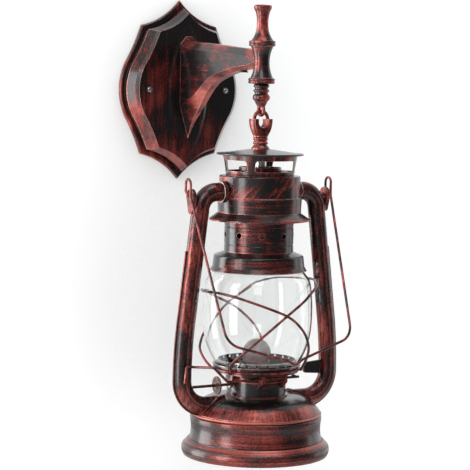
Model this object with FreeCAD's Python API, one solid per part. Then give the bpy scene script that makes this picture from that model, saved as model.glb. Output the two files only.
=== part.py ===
import FreeCAD, Part
import math
import os

# Wall sconce: a shield-shaped backplate, a cast arm with a turned column, and a
# storm lantern that hangs from the column by two linked eyes.
# Origin: on the wall, at the middle of the backplate's back. +X runs to the right
# along the wall, +Y into the wall, +Z up. The lantern hangs at negative Y.

V = FreeCAD.Vector
AX = V(1, 0, 0)
AY = V(0, 1, 0)
AZ = V(0, 0, 1)

# Clearances and stock, in millimetres
over = 2.0                 # a cutting body runs this far past the face that it cuts
run_gap = 0.3              # between pieces that slide or swing past each other
pin_gap = 0.08             # radial play of a pin, spindle or screw in its hole
seat_gap = 0.05            # soldered wires lie this close to what carries them
sheet = 0.9                # lantern sheet metal
wire_r = 1.1               # bail, guard and lever wire
run_half_share = 0.47      # of a run between two corners, the most that one bend takes
bevel_share = 0.3          # a round edge's middle, of its radius in from the corner
along_share = 0.99         # an edge with this much of its length along an axis is parallel to it
hex_sides = 6

# Backplate: outer edge, moulding ridge and raised front face
plate_half_h = 81.0
plate_half_w = 59.5
plate_shoulder_x = 38.3
plate_shoulder_z = 58.0
ridge_half_h = 73.5
ridge_half_w = 56.7
ridge_shoulder_x = 35.6
ridge_shoulder_z = 53.8
face_half_h = 69.1
face_half_w = 49.0
face_shoulder_x = 28.6
face_shoulder_z = 52.1
plate_depth = 20.7
flange_depth = 3.2
flange_round = 0.9
ridge_depth = 10.2
cove_depth = 1.7           # how far the cove lies inside the ridge
plate_wall = 1.8
crown_dip_share = 0.085    # hollow of the crown's sides, of their length
flank_dip_share = 0.025
bulge_end_share = 0.42     # height where the side's bulge ends, of the shoulder's
bulge_in_share = 0.27      # and how far in it is there
cavetto_share = 0.60       # middle of the sloping band, of its depth
cavetto_in_share = 0.72    # and of its width

# Pointed oval pad on the face, round the arm's root
pad_half_w = 20.0
pad_top = 62.0
pad_foot = -66.0
pad_proud = 0.9
pad_slope_w = 2.4

# Bar on the wall and the screws of the plate
bar_len = 96.0
bar_h = 18.0
bar_t = 2.0
wall_hole_pitch = 60.0
wall_hole_r = 2.3
plate_hole_pitch = 77.8
boss_r = 4.0
boss_len = 4.0
screw_r = 2.0
screw_head_r = 2.8
screw_head_h = 1.3
earth_x = 17.0
earth_head_r = 3.4
block_w = 26.0
block_h = 12.0
block_d = 13.0
block_screw_r = 1.9
terminal_shares = (0.24, 0.76)

# Arm
arm_reach = 150.4          # wall to the column's axis
arm_top = 48.3             # top of the arm's root above the plate's middle
arm_tip_top = 35.2
arm_keel = -42.7           # pointed foot of the root
arm_tip_keel = 21.0
arm_half_w = 8.4
arm_tip_half_w = 6.2
arm_bevel_h = 6.5
arm_foot_bevel_h = 29.0
arm_flat_share = 0.36      # flat of the top, of the half width
wireway_r = 3.0
wireway_z = 12.0
wireway_end_z = 25.0
outlet_share = 0.76        # place of the lead's outlet along the arm
outlet_r = 3.4
bush_wall = 1.0
bush_lip = 0.9
lip_show_share = 0.7       # part of the bush's lip that stands below the arm
arm_screw_high = 30.0
arm_screw_low = -6.0
arm_screw_len = 16.0
# along the arm, keel's rise, top's drop, half width, foot bevel, foot flat
arm_shares = ((0.000, 0.000, 0.00, 1.12, 1.00, 0.05), (0.040, 0.115, 0.22, 1.02, 0.82, 0.10),
              (0.079, 0.218, 0.33, 0.96, 0.66, 0.16), (0.177, 0.405, 0.42, 0.90, 0.42, 0.28),
              (0.274, 0.590, 0.48, 0.80, 0.27, 0.38), (0.383, 0.760, 0.55, 0.67, 0.18, 0.45),
              (0.491, 0.843, 0.62, 0.54, 0.14, 0.48), (0.610, 0.900, 0.72, 0.40, 0.12, 0.50),
              (0.742, 0.947, 0.82, 0.26, 0.11, 0.50), (0.887, 0.981, 0.93, 0.11, 0.10, 0.50),
              (1.000, 1.000, 1.00, 0.00, 0.10, 0.50))

# Column: barrel at the arm's end, finial above, hook below
barrel_z = 9.4             # joint between barrel and hook
barrel_h = 31.3
barrel_waist_r = 6.5
barrel_waist_share = 0.48
bead_r = 11.3
bead_root_r = 9.6
bead_joint_r = 10.7
bead_h = 2.3
finial_h = 32.6
finial_neck_r = 4.9
finial_neck_share = 0.49
finial_flare_share = 0.2   # width of the flare's middle above the neck
finial_swell_share = 1.06  # middle of the hollow below the lip, of the neck
finial_root_share = 0.84   # root of the lip, of the lip
finial_crown_shares = (0.93, 0.8)
finial_top_r = 7.6
finial_lip_h = 3.6
rod_r = 2.0
rod_seat = 8.5             # how far the tie rod reaches into finial and hook
hook_collar_r = 6.7
hook_groove_r = 5.6
hook_collar_h = 8.0
hook_bulb_r = 7.0
hook_ring_gap_share = 0.16 # groove beside each ring of the collar
hook_bulb_shares = (0.30, 0.80, 0.10)
eye_root_share = 2.0       # root of the eye, of its wire
hook_drop = 24.5           # joint down to the middle of the hook's eye
eye_r = 4.1
eye_wire_r = 1.6
link_gap = 0.06

# Lantern's own hook, a cast eye on a collar with a long stud
link_arc_r = 6.4
link_wire_r = 1.5
link_shoulder_r = 9.9
link_half_t = 5.2
link_slot_drop = 2.7
link_body_h = 25.2
link_waist_r = 6.3
link_foot_r = 7.6
link_collar_h = 10.0
link_belly_share = 0.93    # middle of the cup's side, of its shoulder
link_ring_shares = (0.12, 0.5, 0.88)
stud_r = 3.0
nut_r = 5.6
nut_h = 4.0
centre_tube_r = 5.2

# Cap, vent cage, drums and brim
cap_r = 36.9
cap_rise = 4.8
cap_rim_r = 0.8
cage_h = 17.2
cage_top_r = 31.4
cage_foot_r = 28.8
window_count = 4
window_w = 37.0
window_h = 9.2
window_round = 2.2
window_drop = 4.2
flue_r = 18.0
flue_rise = 7.0            # how far the flue stands into the cage
flue_h = 36.0
bridge_w = 12.0
bridge_t = 1.6
drum_r = 34.4
drum_h = 18.0
drum_round = 1.2
drum_mouth_r = 26.5
low_drum_r = 35.9
low_drum_foot_r = 35.2
low_drum_h = 13.2
brim_r = 42.7
brim_fall = 5.4
brim_edge = 1.3
vent_pin_r = 1.1           # two small holes beside the left tube
vent_pin_angle = -161.0
vent_pin_drops = (8.1, 14.9)
socket_wall = 1.5          # collars round the side tubes at the drums
socket_reach = 2.6
inlet_r = 4.0
inlet_drop = 9.0

# Globe carrier: perforated drum, collar, globe and plate
perf_r = 29.4
perf_h = 38.0
perf_show_h = 26.2         # length that shows under the brim
perf_hole_r = 2.4
perf_hole_count = 9
perf_hole_drop = 11.6      # from the brim to the holes
perf_phase = -115.0        # degrees; this place holds an unpunched ring
groove_drops = (5.2, 20.2) # brim to the pressed grooves
groove_r = 0.8
groove_depth = 0.35
knock_r = 3.0
knock_wall = 0.7
knock_proud = 0.25
collar_shoulder_r = 38.2
collar_band_r = 39.1
collar_rim_r = 41.1
collar_shoulder_h = 4.6
collar_band_h = 7.9
collar_rim_h = 3.4
collar_round_shares = (0.42, 0.08, 0.22)
lift = 6.0                 # the carrier's travel
sleeve_lap = 4.5           # sleeve that stays inside the raised plate
glass_wall = 2.0
glass_r = 46.5
glass_h = 90.0
glass_lap = 10.5           # part of the globe inside the collar
# height from the globe's foot, and outer radius
globe_shares = ((0.000, 0.772), (0.045, 0.822), (0.105, 0.880), (0.190, 0.938), (0.300, 0.982),
                (0.430, 1.000), (0.600, 0.996), (0.705, 0.978), (0.800, 0.934), (0.868, 0.846),
                (0.925, 0.785), (1.000, 0.745))
plate_flange_r = 37.6
band_r = 35.4
band_h = 6.0
gallery_r = 33.5
gallery_h = 3.8
gallery_slots = 24
slot_w = 2.2
slot_h = 2.2
plate_vents = 12
vent_r = 2.0
skirt_r = 26.4
skirt_h = 6.8
band_step_share = 1.2      # inner step of the plate's band, of the sheet
guard_drop = 4.2           # plate flange down to the guard ring
hoop_clear = 1.0           # between the widest glass and the wire
hoop_nose = 1.5            # how far the bend beside the tube stands out
hoop_tip_share = 2.6       # half width of that bend, of the wire
left_hoop_h = 68.0         # ring up to the hoop's top
left_hoop_foot = 47.0      # degrees from the lantern's side round to the hoop's foot
right_hoop_h = 74.0
right_hoop_foot = 27.0
# along the hoop's turn, rise, and widening from the ring to the full radius
left_hoop_shares = ((0.000, 0.000, 0.00), (0.030, 0.150, 0.62), (0.060, 0.290, 0.97), (0.113, 0.450, 1.0),
                    (0.183, 0.565, 1.00), (0.260, 0.670, 1.00), (0.340, 0.745, 1.00), (0.456, 0.820, 1.0),
                    (0.568, 0.886, 1.00), (0.693, 0.947, 1.00), (0.857, 0.990, 1.00))
right_hoop_shares = ((0.000, 0.000, 0.00), (0.020, 0.090, 0.50), (0.085, 0.190, 0.92), (0.165, 0.310, 1.0),
                     (0.280, 0.500, 1.00), (0.410, 0.690, 1.00), (0.530, 0.820, 1.00), (0.620, 0.915, 1.0),
                     (0.720, 0.975, 1.00), (0.880, 1.000, 1.00))

# Burner neck and lampholder
neck_r = 25.2
neck_sleeve_r = 24.0
neck_show_h = 12.0
neck_bead_r = 27.0
neck_bead_h = 1.1
holder_r = 10.4
holder_h = 20.0
holder_floor = 4.0
cover_r = 11.3
cover_h = 20.6
lamp_cap_r = 6.9
lamp_cap_h = 14.5
lamp_r = 12.0
lamp_neck_r = 10.0
lamp_body_h = 16.8
lamp_neck_share = 0.33
lamp_turns = 5
lamp_tip_share = 1.5       # foot of the cap's cone, of the contact
thread_shares = (0.4, 0.9)
contact_r = 2.2
contact_h = 1.4
contact_head_share = 1.6
nipple_r = 5.0
nipple_bore = 3.6
nipple_h = 12.0
nipple_nut_r = 7.6
nipple_nut_h = 2.4

# Tank
tank_r = 56.1              # at the bead
dome_in = 1.1              # the dome's side, inside the bead
tank_dome_h = 13.8
tank_flat_r = 29.5
dome_r_share = 0.70        # middle of the dome's curve
bead_in = 1.1
tank_shoulder_h = 2.7
base_band_h = 4.1          # bead down to the first groove of the base
waist_in = 0.8             # the waist, inside the bead
tank_wall_h = 20.8
skirt_out = 0.5            # the skirt's top, outside the bead
skirt_step_w = 1.3         # ledge above the flare
skirt_step_h = 0.5
base_out = 7.0             # the foot's widest line, outside the bead
base_flare_h = 4.6
base_ring_h = 9.0
base_turn = 2.4            # width of the rolled foot
floor_t = 1.2
base_shares = (0.55, 0.45, 1.8)

# Side tubes
tube_out = 8.2             # section's half width away from the lantern
tube_in = 7.3              # and towards it
tube_half_t = 6.8
tube_wall = 1.0
bow_u_share = 0.72         # shoulder of the section's curve
bow_v_share = 0.70
tube_rib_w = 1.2
tube_rib_h = 0.7
tube_start_x = 29.5
tube_drop = 14.0           # drum's top down to the tube's middle
arch_x = 42.0
arch_r = 14.5
leg_splay = 7.0            # degrees
leg_x = 71.0
leg_bend_share = 0.93      # of the leg's straight part, taken by its bend
elbow_r = 22.0
tube_end_x = 33.0
tube_foot_z_drop = 5.8     # tank's top down to the middle of the tube's foot
fin_w = 1.4
fin_t = 1.4
fin_drop = 48.0            # tube's middle at the drum down to the fin's start

# Ears and bail
ear_r = 6.4
ear_t = 3.0
ear_x = 65.5
ear_drop = 17.0            # drum's top down to the bail's pivot
ear_tail = 11.0
ear_tail_r = 3.4
ear_foot_t = 4.4
ear_hole_play = 0.9
bail_len = 148.0
bail_lean = 23.5           # degrees forward of hanging, as it rests
bail_corner_x = 60.0
bail_corner_w = 127.0
bail_notch_half_w = 7.5
bail_notch_w = 143.6
bail_bend_r = 16.0
notch_bend_r = 3.0
bail_eye_w = 8.4
bail_eye_h = 14.5
pin_past = 1.2
eye_bend_shares = (0.8, 0.98, 0.98, 1.0)

# Globe lift lever
lever_y = 28.0             # in front of the lantern's axis
lever_drop = 2.7           # plate's underside down to the lever's axis
lever_right_x = 25.0
lever_left_x = 44.0
lever_rise = 12.4
lever_rise_x = 56.0
lever_handle_x = 69.5
lever_front_y = 11.0       # handle, in front of the tube
lever_tail_drop = 14.0
lever_tail_x = 75.0
lever_bend_r = 4.0
finger_x = 23.0
finger_len = 12.0
finger_share = 0.9         # finger's wire, of the lever's
lever_crank_share = 0.9    # how far forward the crank's top is, of its foot
lug_x = 11.0
lug_t = 2.0
lug_w = 2.2                # metal beyond the lever's wire
lug_foot_h = 6.0

# Guide tab on the right tube, beside the globe plate
tab_x = 47.0
tab_h = 9.0
tab_root_h = 13.0
tab_t = 1.8
tab_drop = 0.4             # its middle, below the plate's underside

# Wick wheel
wick_drop = 3.0            # neck's top down to the spindle
spindle_r = 1.2
spindle_in = 13.6          # its inner end, from the axis
spindle_out_gap = 0.3      # its outer end, from the tube
wick_bush_r = 2.8
wick_bush_len = 3.2
wick_bush_neck_share = 0.75
wheel_r = 7.6
wheel_t = 1.6
wheel_x = 38.5
wheel_teeth = 24
tooth_h = 0.9
wheel_hub_r = 2.6
wheel_hub_len = 3.4
wheel_dish_r = 4.8
tooth_half_share = 0.28


# Heights that follow from the sizes above, from the column down
barrel_top = barrel_z + barrel_h
eye_z = barrel_z - hook_drop
pivot_z = eye_z - eye_r
link_top_z = pivot_z + eye_wire_r + link_gap + link_wire_r
link_z = link_top_z - link_arc_r
cap_z = link_z - link_body_h
cap_rim_z = cap_z - cap_rise
cap_slope = cap_rise / (cap_r - link_foot_r)
cage_z = cap_z - cap_slope * (cage_top_r - link_foot_r) - sheet - cap_rim_r / 2
drum_z = cage_z - cage_h
low_drum_z = drum_z - drum_h - seat_gap
brim_z = low_drum_z - low_drum_h
brim_foot_z = brim_z - brim_fall - brim_edge
perf_foot_z = brim_foot_z - perf_show_h
shoulder_z = perf_foot_z - collar_shoulder_h
band_z = shoulder_z - collar_band_h
collar_z = band_z - collar_rim_h
glass_z = collar_z + glass_lap - glass_h
flange_z = glass_z - seat_gap
ring_z = flange_z - guard_drop
under_z = flange_z - sheet - band_h
neck_z = under_z - skirt_h - run_gap
neck_foot_z = neck_z - neck_show_h
tank_z = neck_foot_z - neck_bead_h
tank_shoulder_z = tank_z - tank_dome_h
tank_joint_z = tank_shoulder_z - tank_shoulder_h
skirt_z = tank_joint_z - tank_wall_h
base_rim_z = skirt_z - base_flare_h
foot_z = base_rim_z - base_ring_h
dome_r = tank_r - dome_in
tank_waist_r = tank_r - waist_in
skirt_top_r = tank_r + skirt_out
base_r = tank_r + base_out
tube_z = drum_z - tube_drop
tube_foot_z = tank_z - tube_foot_z_drop
pin_z = drum_z - ear_drop
lever_z = under_z - lever_drop
wick_z = neck_z - wick_drop
guard_ring_r = band_r + wire_r + seat_gap
neck_sleeve_h = lift + sleeve_lap
hoop_r = glass_r + wire_r + hoop_clear


def save(shape, name):
    """Write one node's file after a check that it is sound."""
    if not shape.isValid():
        shape = shape.removeSplitter()
    if not shape.isValid():
        print("not valid:", name)
    shape.exportStep("parts/" + name + ".step")
    box = shape.BoundBox
    line = "%-18s solids %2d volume %9.1f  z %8.2f %8.2f"
    print(line % (name, len(shape.Solids), shape.Volume, box.ZMin, box.ZMax))


def profile(items):
    """Edges through points (r, z) in the XZ plane.

    An item ((r, z), (r, z)) is an arc by way of the first point.
    """
    edges = []
    here = V(items[0][0], 0, items[0][1])
    for item in items[1:]:
        if isinstance(item[0], tuple):
            by = V(item[0][0], 0, item[0][1])
            there = V(item[1][0], 0, item[1][1])
            edges.append(Part.Arc(here, by, there).toShape())
        else:
            there = V(item[0], 0, item[1])
            edges.append(Part.makeLine(here, there))
        here = there
    return edges


def turned(items):
    """Solid of revolution about Z from a closed profile."""
    edges = profile(items + [items[0]])
    return Part.Face(Part.Wire(edges)).revolve(V(0, 0, 0), AZ, 360)


def pressed(items, wall):
    """Sheet of revolution: the outer line given, metal on its right as it runs down."""
    face = Part.Wire(profile(items)).makeOffset2D(-wall, 2, True, True)
    return face.revolve(V(0, 0, 0), AZ, 360)


def tube(outer, inner, low, high):
    """Plain round tube on the lantern's axis."""
    wall = Part.makeCylinder(outer, high - low, V(0, 0, low))
    return wall.cut(Part.makeCylinder(inner, high - low + 2 * over, V(0, 0, low - over)))


def torus_ring(radius, wire, z):
    return Part.makeTorus(radius, wire, V(0, 0, z), AZ)


def hung(shape):
    """Move a lantern piece from its own axis to its place in front of the wall."""
    shape.translate(V(0, -arm_reach, 0))
    return shape


def around(shape, angle):
    """A copy turned about Z by an angle in degrees."""
    copy = shape.copy()
    copy.rotate(V(0, 0, 0), AZ, angle)
    return copy


def mirrored(shape):
    return shape.mirror(V(0, 0, 0), AX)


def joined(shapes):
    """One solid from touching solids."""
    return shapes[0].multiFuse(shapes[1:]).removeSplitter()


def rounded_path(points, radii):
    """Straight runs joined by tangent arcs."""
    edges = []
    here = points[0]
    for k in range(1, len(points) - 1):
        before = (points[k - 1] - points[k]).normalize()
        after = (points[k + 1] - points[k]).normalize()
        half = before.getAngle(after) / 2
        reach = radii[k - 1] / math.tan(half)
        start = points[k] + before * reach
        end = points[k] + after * reach
        middle = (before + after).normalize()
        by = points[k] + middle * (radii[k - 1] / math.sin(half) - radii[k - 1])
        edges.append(Part.makeLine(here, start))
        edges.append(Part.Arc(start, by, end).toShape())
        here = end
    edges.append(Part.makeLine(here, points[-1]))
    return Part.Wire(edges)


def easy_radii(points, most):
    """The largest bend that each corner's shorter run allows."""
    radii = []
    for k in range(1, len(points) - 1):
        before = points[k - 1] - points[k]
        after = points[k + 1] - points[k]
        half = before.getAngle(after) / 2
        run = min(before.Length, after.Length)
        radii.append(min(most, run * math.tan(half) * run_half_share))
    return radii


def bent_wire(points, radii, radius):
    """Round wire along a path of runs and bends."""
    path = rounded_path(points, radii)
    start = points[0]
    ring = Part.Wire([Part.makeCircle(radius, start, points[1] - start)])
    solid = path.makePipeShell([ring], True, False)
    expected = math.pi * radius ** 2 * path.Length
    if abs(solid.Volume - expected) > expected * (1 - along_share):
        print("wire volume", solid.Volume, "expected", expected)
    return solid


def shield(sizes, inset, depth):
    """Closed outline of the backplate at a depth in front of the wall."""
    high, wide, side_x, side_z = [size - inset for size in sizes]
    bulge_z = side_z * bulge_end_share
    bulge_x = wide - (wide - side_x) * bulge_in_share

    def between(a, b, dip_share):
        dx = b[0] - a[0]
        dz = b[1] - a[1]
        return ((a[0] + b[0]) / 2 + dz * dip_share, (a[1] + b[1]) / 2 - dx * dip_share)

    crown = (0, high)
    side = (side_x, side_z)
    bulge = (bulge_x, bulge_z)
    quarter = ((crown, between(crown, side, crown_dip_share), side),
               (side, between(side, bulge, flank_dip_share), bulge))
    edges = []

    def arc(*points):
        edges.append(Part.Arc(*[V(p[0], -depth, p[1]) for p in points]).toShape())

    def flip(p, sx, sz):
        return (p[0] * sx, p[1] * sz)

    for sx in (1, -1):
        steps = [(flip(a, sx, 1), flip(by, sx, 1), flip(b, sx, 1)) for a, by, b in quarter]
        steps.append((flip(bulge, sx, 1), (wide * sx, 0), flip(bulge, sx, -1)))
        steps += [(flip(b, sx, -1), flip(by, sx, -1), flip(a, sx, -1)) for a, by, b in reversed(quarter)]
        if sx < 0:
            steps = [(b, by, a) for a, by, b in reversed(steps)]
        for a, by, b in steps:
            arc(a, by, b)
    return Part.Wire(edges)


def layer(low, high):
    return Part.makeLoft([low, high], True, True)


plate_sizes = (plate_half_h, plate_half_w, plate_shoulder_x, plate_shoulder_z)
ridge_sizes = (ridge_half_h, ridge_half_w, ridge_shoulder_x, ridge_shoulder_z)
face_sizes = (face_half_h, face_half_w, face_shoulder_x, face_shoulder_z)
band_sizes = tuple(a + (b - a) * cavetto_in_share for a, b in zip(ridge_sizes, face_sizes))
band_depth = ridge_depth + (plate_depth - ridge_depth) * cavetto_share


def hole_y(x, z, radius, near, far):
    """Cutting cylinder along Y between two depths in front of the wall."""
    return Part.makeCylinder(radius, far - near + 2 * over, V(x, -near + over, z), V(0, -1, 0))


arm_seat = plate_depth + pad_proud


def pad_outline(inset, depth):
    """Two arcs that meet in a point above and below the arm's root."""
    draw_in = inset * pad_top / pad_half_w
    top = V(0, -depth, pad_top - draw_in)
    foot = V(0, -depth, pad_foot + draw_in)
    middle = (pad_top + pad_foot) / 2
    sides = [V(sign * (pad_half_w - inset), -depth, middle) for sign in (1, -1)]
    return Part.Wire([Part.Arc(top, sides[0], foot).toShape(), Part.Arc(foot, sides[1], top).toShape()])


def backplate():
    square = flange_depth - flange_round
    outer = layer(shield(plate_sizes, 0, 0), shield(plate_sizes, 0, square))
    edge = layer(shield(plate_sizes, 0, square), shield(plate_sizes, flange_round, flange_depth))
    lip = shield(ridge_sizes, cove_depth, ridge_depth - cove_depth)
    cove = layer(shield(ridge_sizes, cove_depth, flange_depth), lip)
    ridge = layer(lip, shield(ridge_sizes, 0, ridge_depth))
    low = layer(shield(ridge_sizes, 0, ridge_depth), shield(band_sizes, 0, band_depth))
    high = layer(shield(band_sizes, 0, band_depth), shield(face_sizes, 0, plate_depth))
    pad = layer(pad_outline(0, plate_depth), pad_outline(pad_slope_w, arm_seat))
    body = joined([outer, edge, cove, ridge, low, high, pad])
    inset = cove_depth + plate_wall
    middle = shield(ridge_sizes, inset, ridge_depth - plate_wall)
    well = layer(shield(ridge_sizes, inset, -over), middle)
    hood = layer(middle, shield(face_sizes, plate_wall, plate_depth - plate_wall))
    body = body.cut(well).cut(hood)
    for sx in (-1, 1):
        body = body.cut(hole_y(sx * plate_hole_pitch / 2, 0, screw_r + pin_gap, 0, plate_depth))
    for z in (arm_screw_high, arm_screw_low):
        body = body.cut(hole_y(0, z, screw_r + pin_gap, 0, arm_seat))
    return body.cut(hole_y(0, wireway_z, wireway_r, 0, arm_seat))


def wall_bar():
    bar = Part.makeBox(bar_len, bar_t, bar_h, V(-bar_len / 2, -bar_t, -bar_h / 2))
    corners = [e for e in bar.Edges if abs(e.tangentAt(e.FirstParameter).y) > along_share]
    bar = bar.makeFillet(bar_h / 3, corners)
    for sx in (-1, 1):
        x = sx * plate_hole_pitch / 2
        bar = bar.fuse(Part.makeCylinder(boss_r, boss_len, V(x, -bar_t, 0), V(0, -1, 0)))
    for sx in (-1, 1):
        bar = bar.cut(hole_y(sx * plate_hole_pitch / 2, 0, screw_r + pin_gap, 0, bar_t + boss_len))
        bar = bar.cut(hole_y(sx * wall_hole_pitch / 2, 0, wall_hole_r, 0, bar_t))
    return bar.cut(hole_y(earth_x, 0, screw_r + pin_gap, 0, bar_t)).removeSplitter()


def screw(x, z, seat, length, radius, head_r, head_h, heading):
    """Round-headed screw along Y; its head lies on the seat and its shank runs by the heading."""
    back = V(0, -heading, 0)
    shank = Part.makeCylinder(radius, length, V(x, -seat, z), V(0, heading, 0))
    rim = Part.makeCylinder(head_r, head_h / 2, V(x, -seat, z), back)
    ball_r = (head_r ** 2 + head_h ** 2) / (2 * head_h)
    dome = Part.makeSphere(ball_r, V(x, -seat - heading * (head_h - ball_r), z))
    dome = dome.common(Part.makeCylinder(head_r, head_h, V(x, -seat, z), back))
    wide = head_r / 4
    start = V(x - head_r - over / 2, 0, z - wide / 2)
    slot = Part.makeBox(2 * head_r + over, head_h / 3, wide, start)
    slot.translate(V(0, -seat - heading * head_h * 2 / 3 - (head_h / 3 if heading > 0 else 0), 0))
    return shank.fuse(rim).fuse(dome).cut(slot).removeSplitter()


def plate_screws():
    length = plate_depth - bar_t / 2
    x = plate_hole_pitch / 2
    shapes = [screw(sx * x, 0, plate_depth, length, screw_r, screw_head_r, screw_head_h, 1)
              for sx in (-1, 1)]
    return Part.makeCompound(shapes)


def arm_screws():
    seat = plate_depth - plate_wall
    head_r = 2 * screw_r - pin_gap
    shapes = [screw(0, z, seat, arm_screw_len, screw_r, head_r, screw_head_h * 2, -1)
              for z in (arm_screw_high, arm_screw_low)]
    return Part.makeCompound(shapes)


def earth_screw():
    return screw(earth_x, 0, bar_t, bar_t, screw_r, earth_head_r, screw_head_h * 2, 1)


def terminal_block():
    """Two-way block that stands on the bar, with its clamping screws."""
    low = V(-block_w / 2 - earth_x / 4, -bar_t - block_d, -block_h / 2)
    block = Part.makeBox(block_w, block_d, block_h, low)
    waist_w = wireway_r
    start = V(low.x + (block_w - waist_w) / 2, low.y - over / 2, low.z - over)
    waist = Part.makeBox(waist_w, block_d / 2, block_h + 2 * over, start)
    block = block.cut(waist)
    for share in terminal_shares:
        x = low.x + block_w * share
        block = block.cut(Part.makeCylinder(block_screw_r, block_d / 3, V(x, low.y - over / 2, 0), AY))
        start = V(x, low.y + block_d / 2, low.z - over)
        lead = Part.makeCylinder(block_screw_r - pin_gap, block_h + 2 * over, start, AZ)
        block = block.cut(lead)
    return block


def arm_section(shares):
    """Eight-sided section of the arm, from its table of shares."""
    along, rise, drop, wide, bevel, flat = shares
    y = -arm_seat - along * (arm_reach - arm_seat)
    top = arm_top + (arm_tip_top - arm_top) * drop
    keel = arm_keel + (arm_tip_keel - arm_keel) * rise
    half = arm_tip_half_w + (arm_half_w - arm_tip_half_w) * wide
    cheek = top - arm_bevel_h
    foot = keel + arm_foot_bevel_h * bevel
    right = [(half * arm_flat_share, top), (half, cheek), (half, foot), (half * flat, keel)]
    ring = right + [(-x, z) for x, z in reversed(right)]
    return Part.makePolygon([V(x, y, z) for x, z in ring + ring[:1]])


def bead_up(z, sign):
    """Half of the double ring at a joint, as profile items that run away from the joint."""
    return [(bead_joint_r, z), ((bead_r, z + sign * bead_h / 2), (bead_root_r, z + sign * bead_h))]


def barrel_solid():
    waist = (barrel_waist_r, barrel_z + barrel_h * barrel_waist_share)
    items = [(0, barrel_z)] + bead_up(barrel_z, 1)
    items.append((waist, (bead_root_r, barrel_top - bead_h)))
    items.append(((bead_r, barrel_top - bead_h / 2), (bead_joint_r, barrel_top)))
    items.append((0, barrel_top))
    return hung(turned(items))


def arm():
    body = Part.makeLoft([arm_section(s) for s in arm_shares], True, False)
    barrel = barrel_solid()
    body = body.fuse(barrel).removeSplitter()
    start = V(0, -arm_seat + over, wireway_z)
    end = V(0, outlet_y(), wireway_end_z)
    body = body.cut(Part.makeCylinder(wireway_r, (end - start).Length, start, end - start))
    body = body.cut(Part.makeCylinder(outlet_r, wireway_end_z - arm_keel, end, V(0, 0, -1)))
    for z in (arm_screw_high, arm_screw_low):
        depth = arm_screw_len - plate_wall
        start = V(0, -arm_seat + over, z)
        body = body.cut(Part.makeCylinder(screw_r + pin_gap, depth + over, start, V(0, -1, 0)))
    bore = Part.makeCylinder(rod_r + pin_gap, barrel_h + 2 * over, V(0, -arm_reach, barrel_z - over))
    return body.cut(bore)


def outlet_y():
    return -arm_seat - outlet_share * (arm_reach - arm_seat)


def outlet_bottom():
    """Height of the arm's underside at the lead's outlet."""
    before = max((s for s in arm_shares if s[0] <= outlet_share), key=lambda s: s[0])
    after = min((s for s in arm_shares if s[0] > outlet_share), key=lambda s: s[0])
    part = (outlet_share - before[0]) / (after[0] - before[0])
    rise = before[1] + (after[1] - before[1]) * part
    return arm_keel + (arm_tip_keel - arm_keel) * rise


def lead_bush(radius, wall, length, lip):
    """Rubber bush that stands along +Z, with a lip at its foot."""
    body = Part.makeCylinder(radius - seat_gap, length)
    body = body.fuse(Part.makeCylinder(radius + wall, lip, V(0, 0, -lip)))
    bore = Part.makeCylinder(radius - wall, length + lip + 2 * over, V(0, 0, -lip - over))
    return body.cut(bore).removeSplitter()


def arm_bush():
    bush = lead_bush(outlet_r, bush_wall, bush_lip * 4, bush_lip)
    bush.translate(V(0, outlet_y(), outlet_bottom() - bush_lip * lip_show_share))
    return bush


def finial():
    z = barrel_top
    neck = (finial_neck_r, z + finial_h * finial_neck_share)
    top = z + finial_h
    lip = top - finial_lip_h
    items = [(0, z)] + bead_up(z, 1)
    flare = finial_neck_r + (bead_root_r - finial_neck_r) * finial_flare_share
    items.append(((flare, (z + bead_h + neck[1]) / 2), neck))
    root = (finial_top_r * finial_root_share, lip - finial_lip_h / 2)
    items.append(((finial_neck_r * finial_swell_share, (neck[1] + lip) / 2), root))
    items.append(((finial_top_r, lip + finial_lip_h / 4), (finial_top_r, lip + finial_lip_h / 2)))
    wide, narrow = [finial_top_r * share for share in finial_crown_shares]
    items.append(((wide, top - finial_lip_h / 4), (narrow, top - finial_lip_h / 8)))
    items.append((0, top))
    body = turned(items)
    bore = Part.makeCylinder(rod_r + pin_gap, rod_seat + over, V(0, 0, z - over))
    return hung(body.cut(bore))


def tie_rod():
    low = barrel_z - rod_seat + pin_gap
    return hung(Part.makeCylinder(rod_r, barrel_h + 2 * rod_seat - 2 * pin_gap, V(0, 0, low)))


def upper_hook():
    z = barrel_z
    collar = z - bead_h - hook_collar_h
    half = hook_collar_h / 2
    bulb_foot = eye_z + eye_r - eye_wire_r
    items = [(0, z)] + bead_up(z, -1)
    gap = half * hook_ring_gap_share
    items.append((hook_groove_r, z - bead_h - gap))
    for k in (0, 1):
        a = z - bead_h - half * k - gap
        b = a + 2 * gap - half
        items.append(((hook_collar_r, (a + b) / 2), (hook_groove_r, b)))
        items.append((hook_groove_r, b - 2 * gap))
    belly, narrow, low = [hook_bulb_r * share for share in hook_bulb_shares]
    items.append(((hook_bulb_r, collar - belly), (narrow, (collar + bulb_foot) / 2 - low)))
    items.append((eye_wire_r * eye_root_share, bulb_foot))
    items.append((0, bulb_foot))
    body = turned(items)
    eye = Part.makeTorus(eye_r, eye_wire_r, V(0, 0, eye_z), AX)
    body = body.fuse(eye).removeSplitter()
    bore = Part.makeCylinder(rod_r + pin_gap, rod_seat + over, V(0, 0, z - rod_seat))
    return hung(body.cut(bore))


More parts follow.
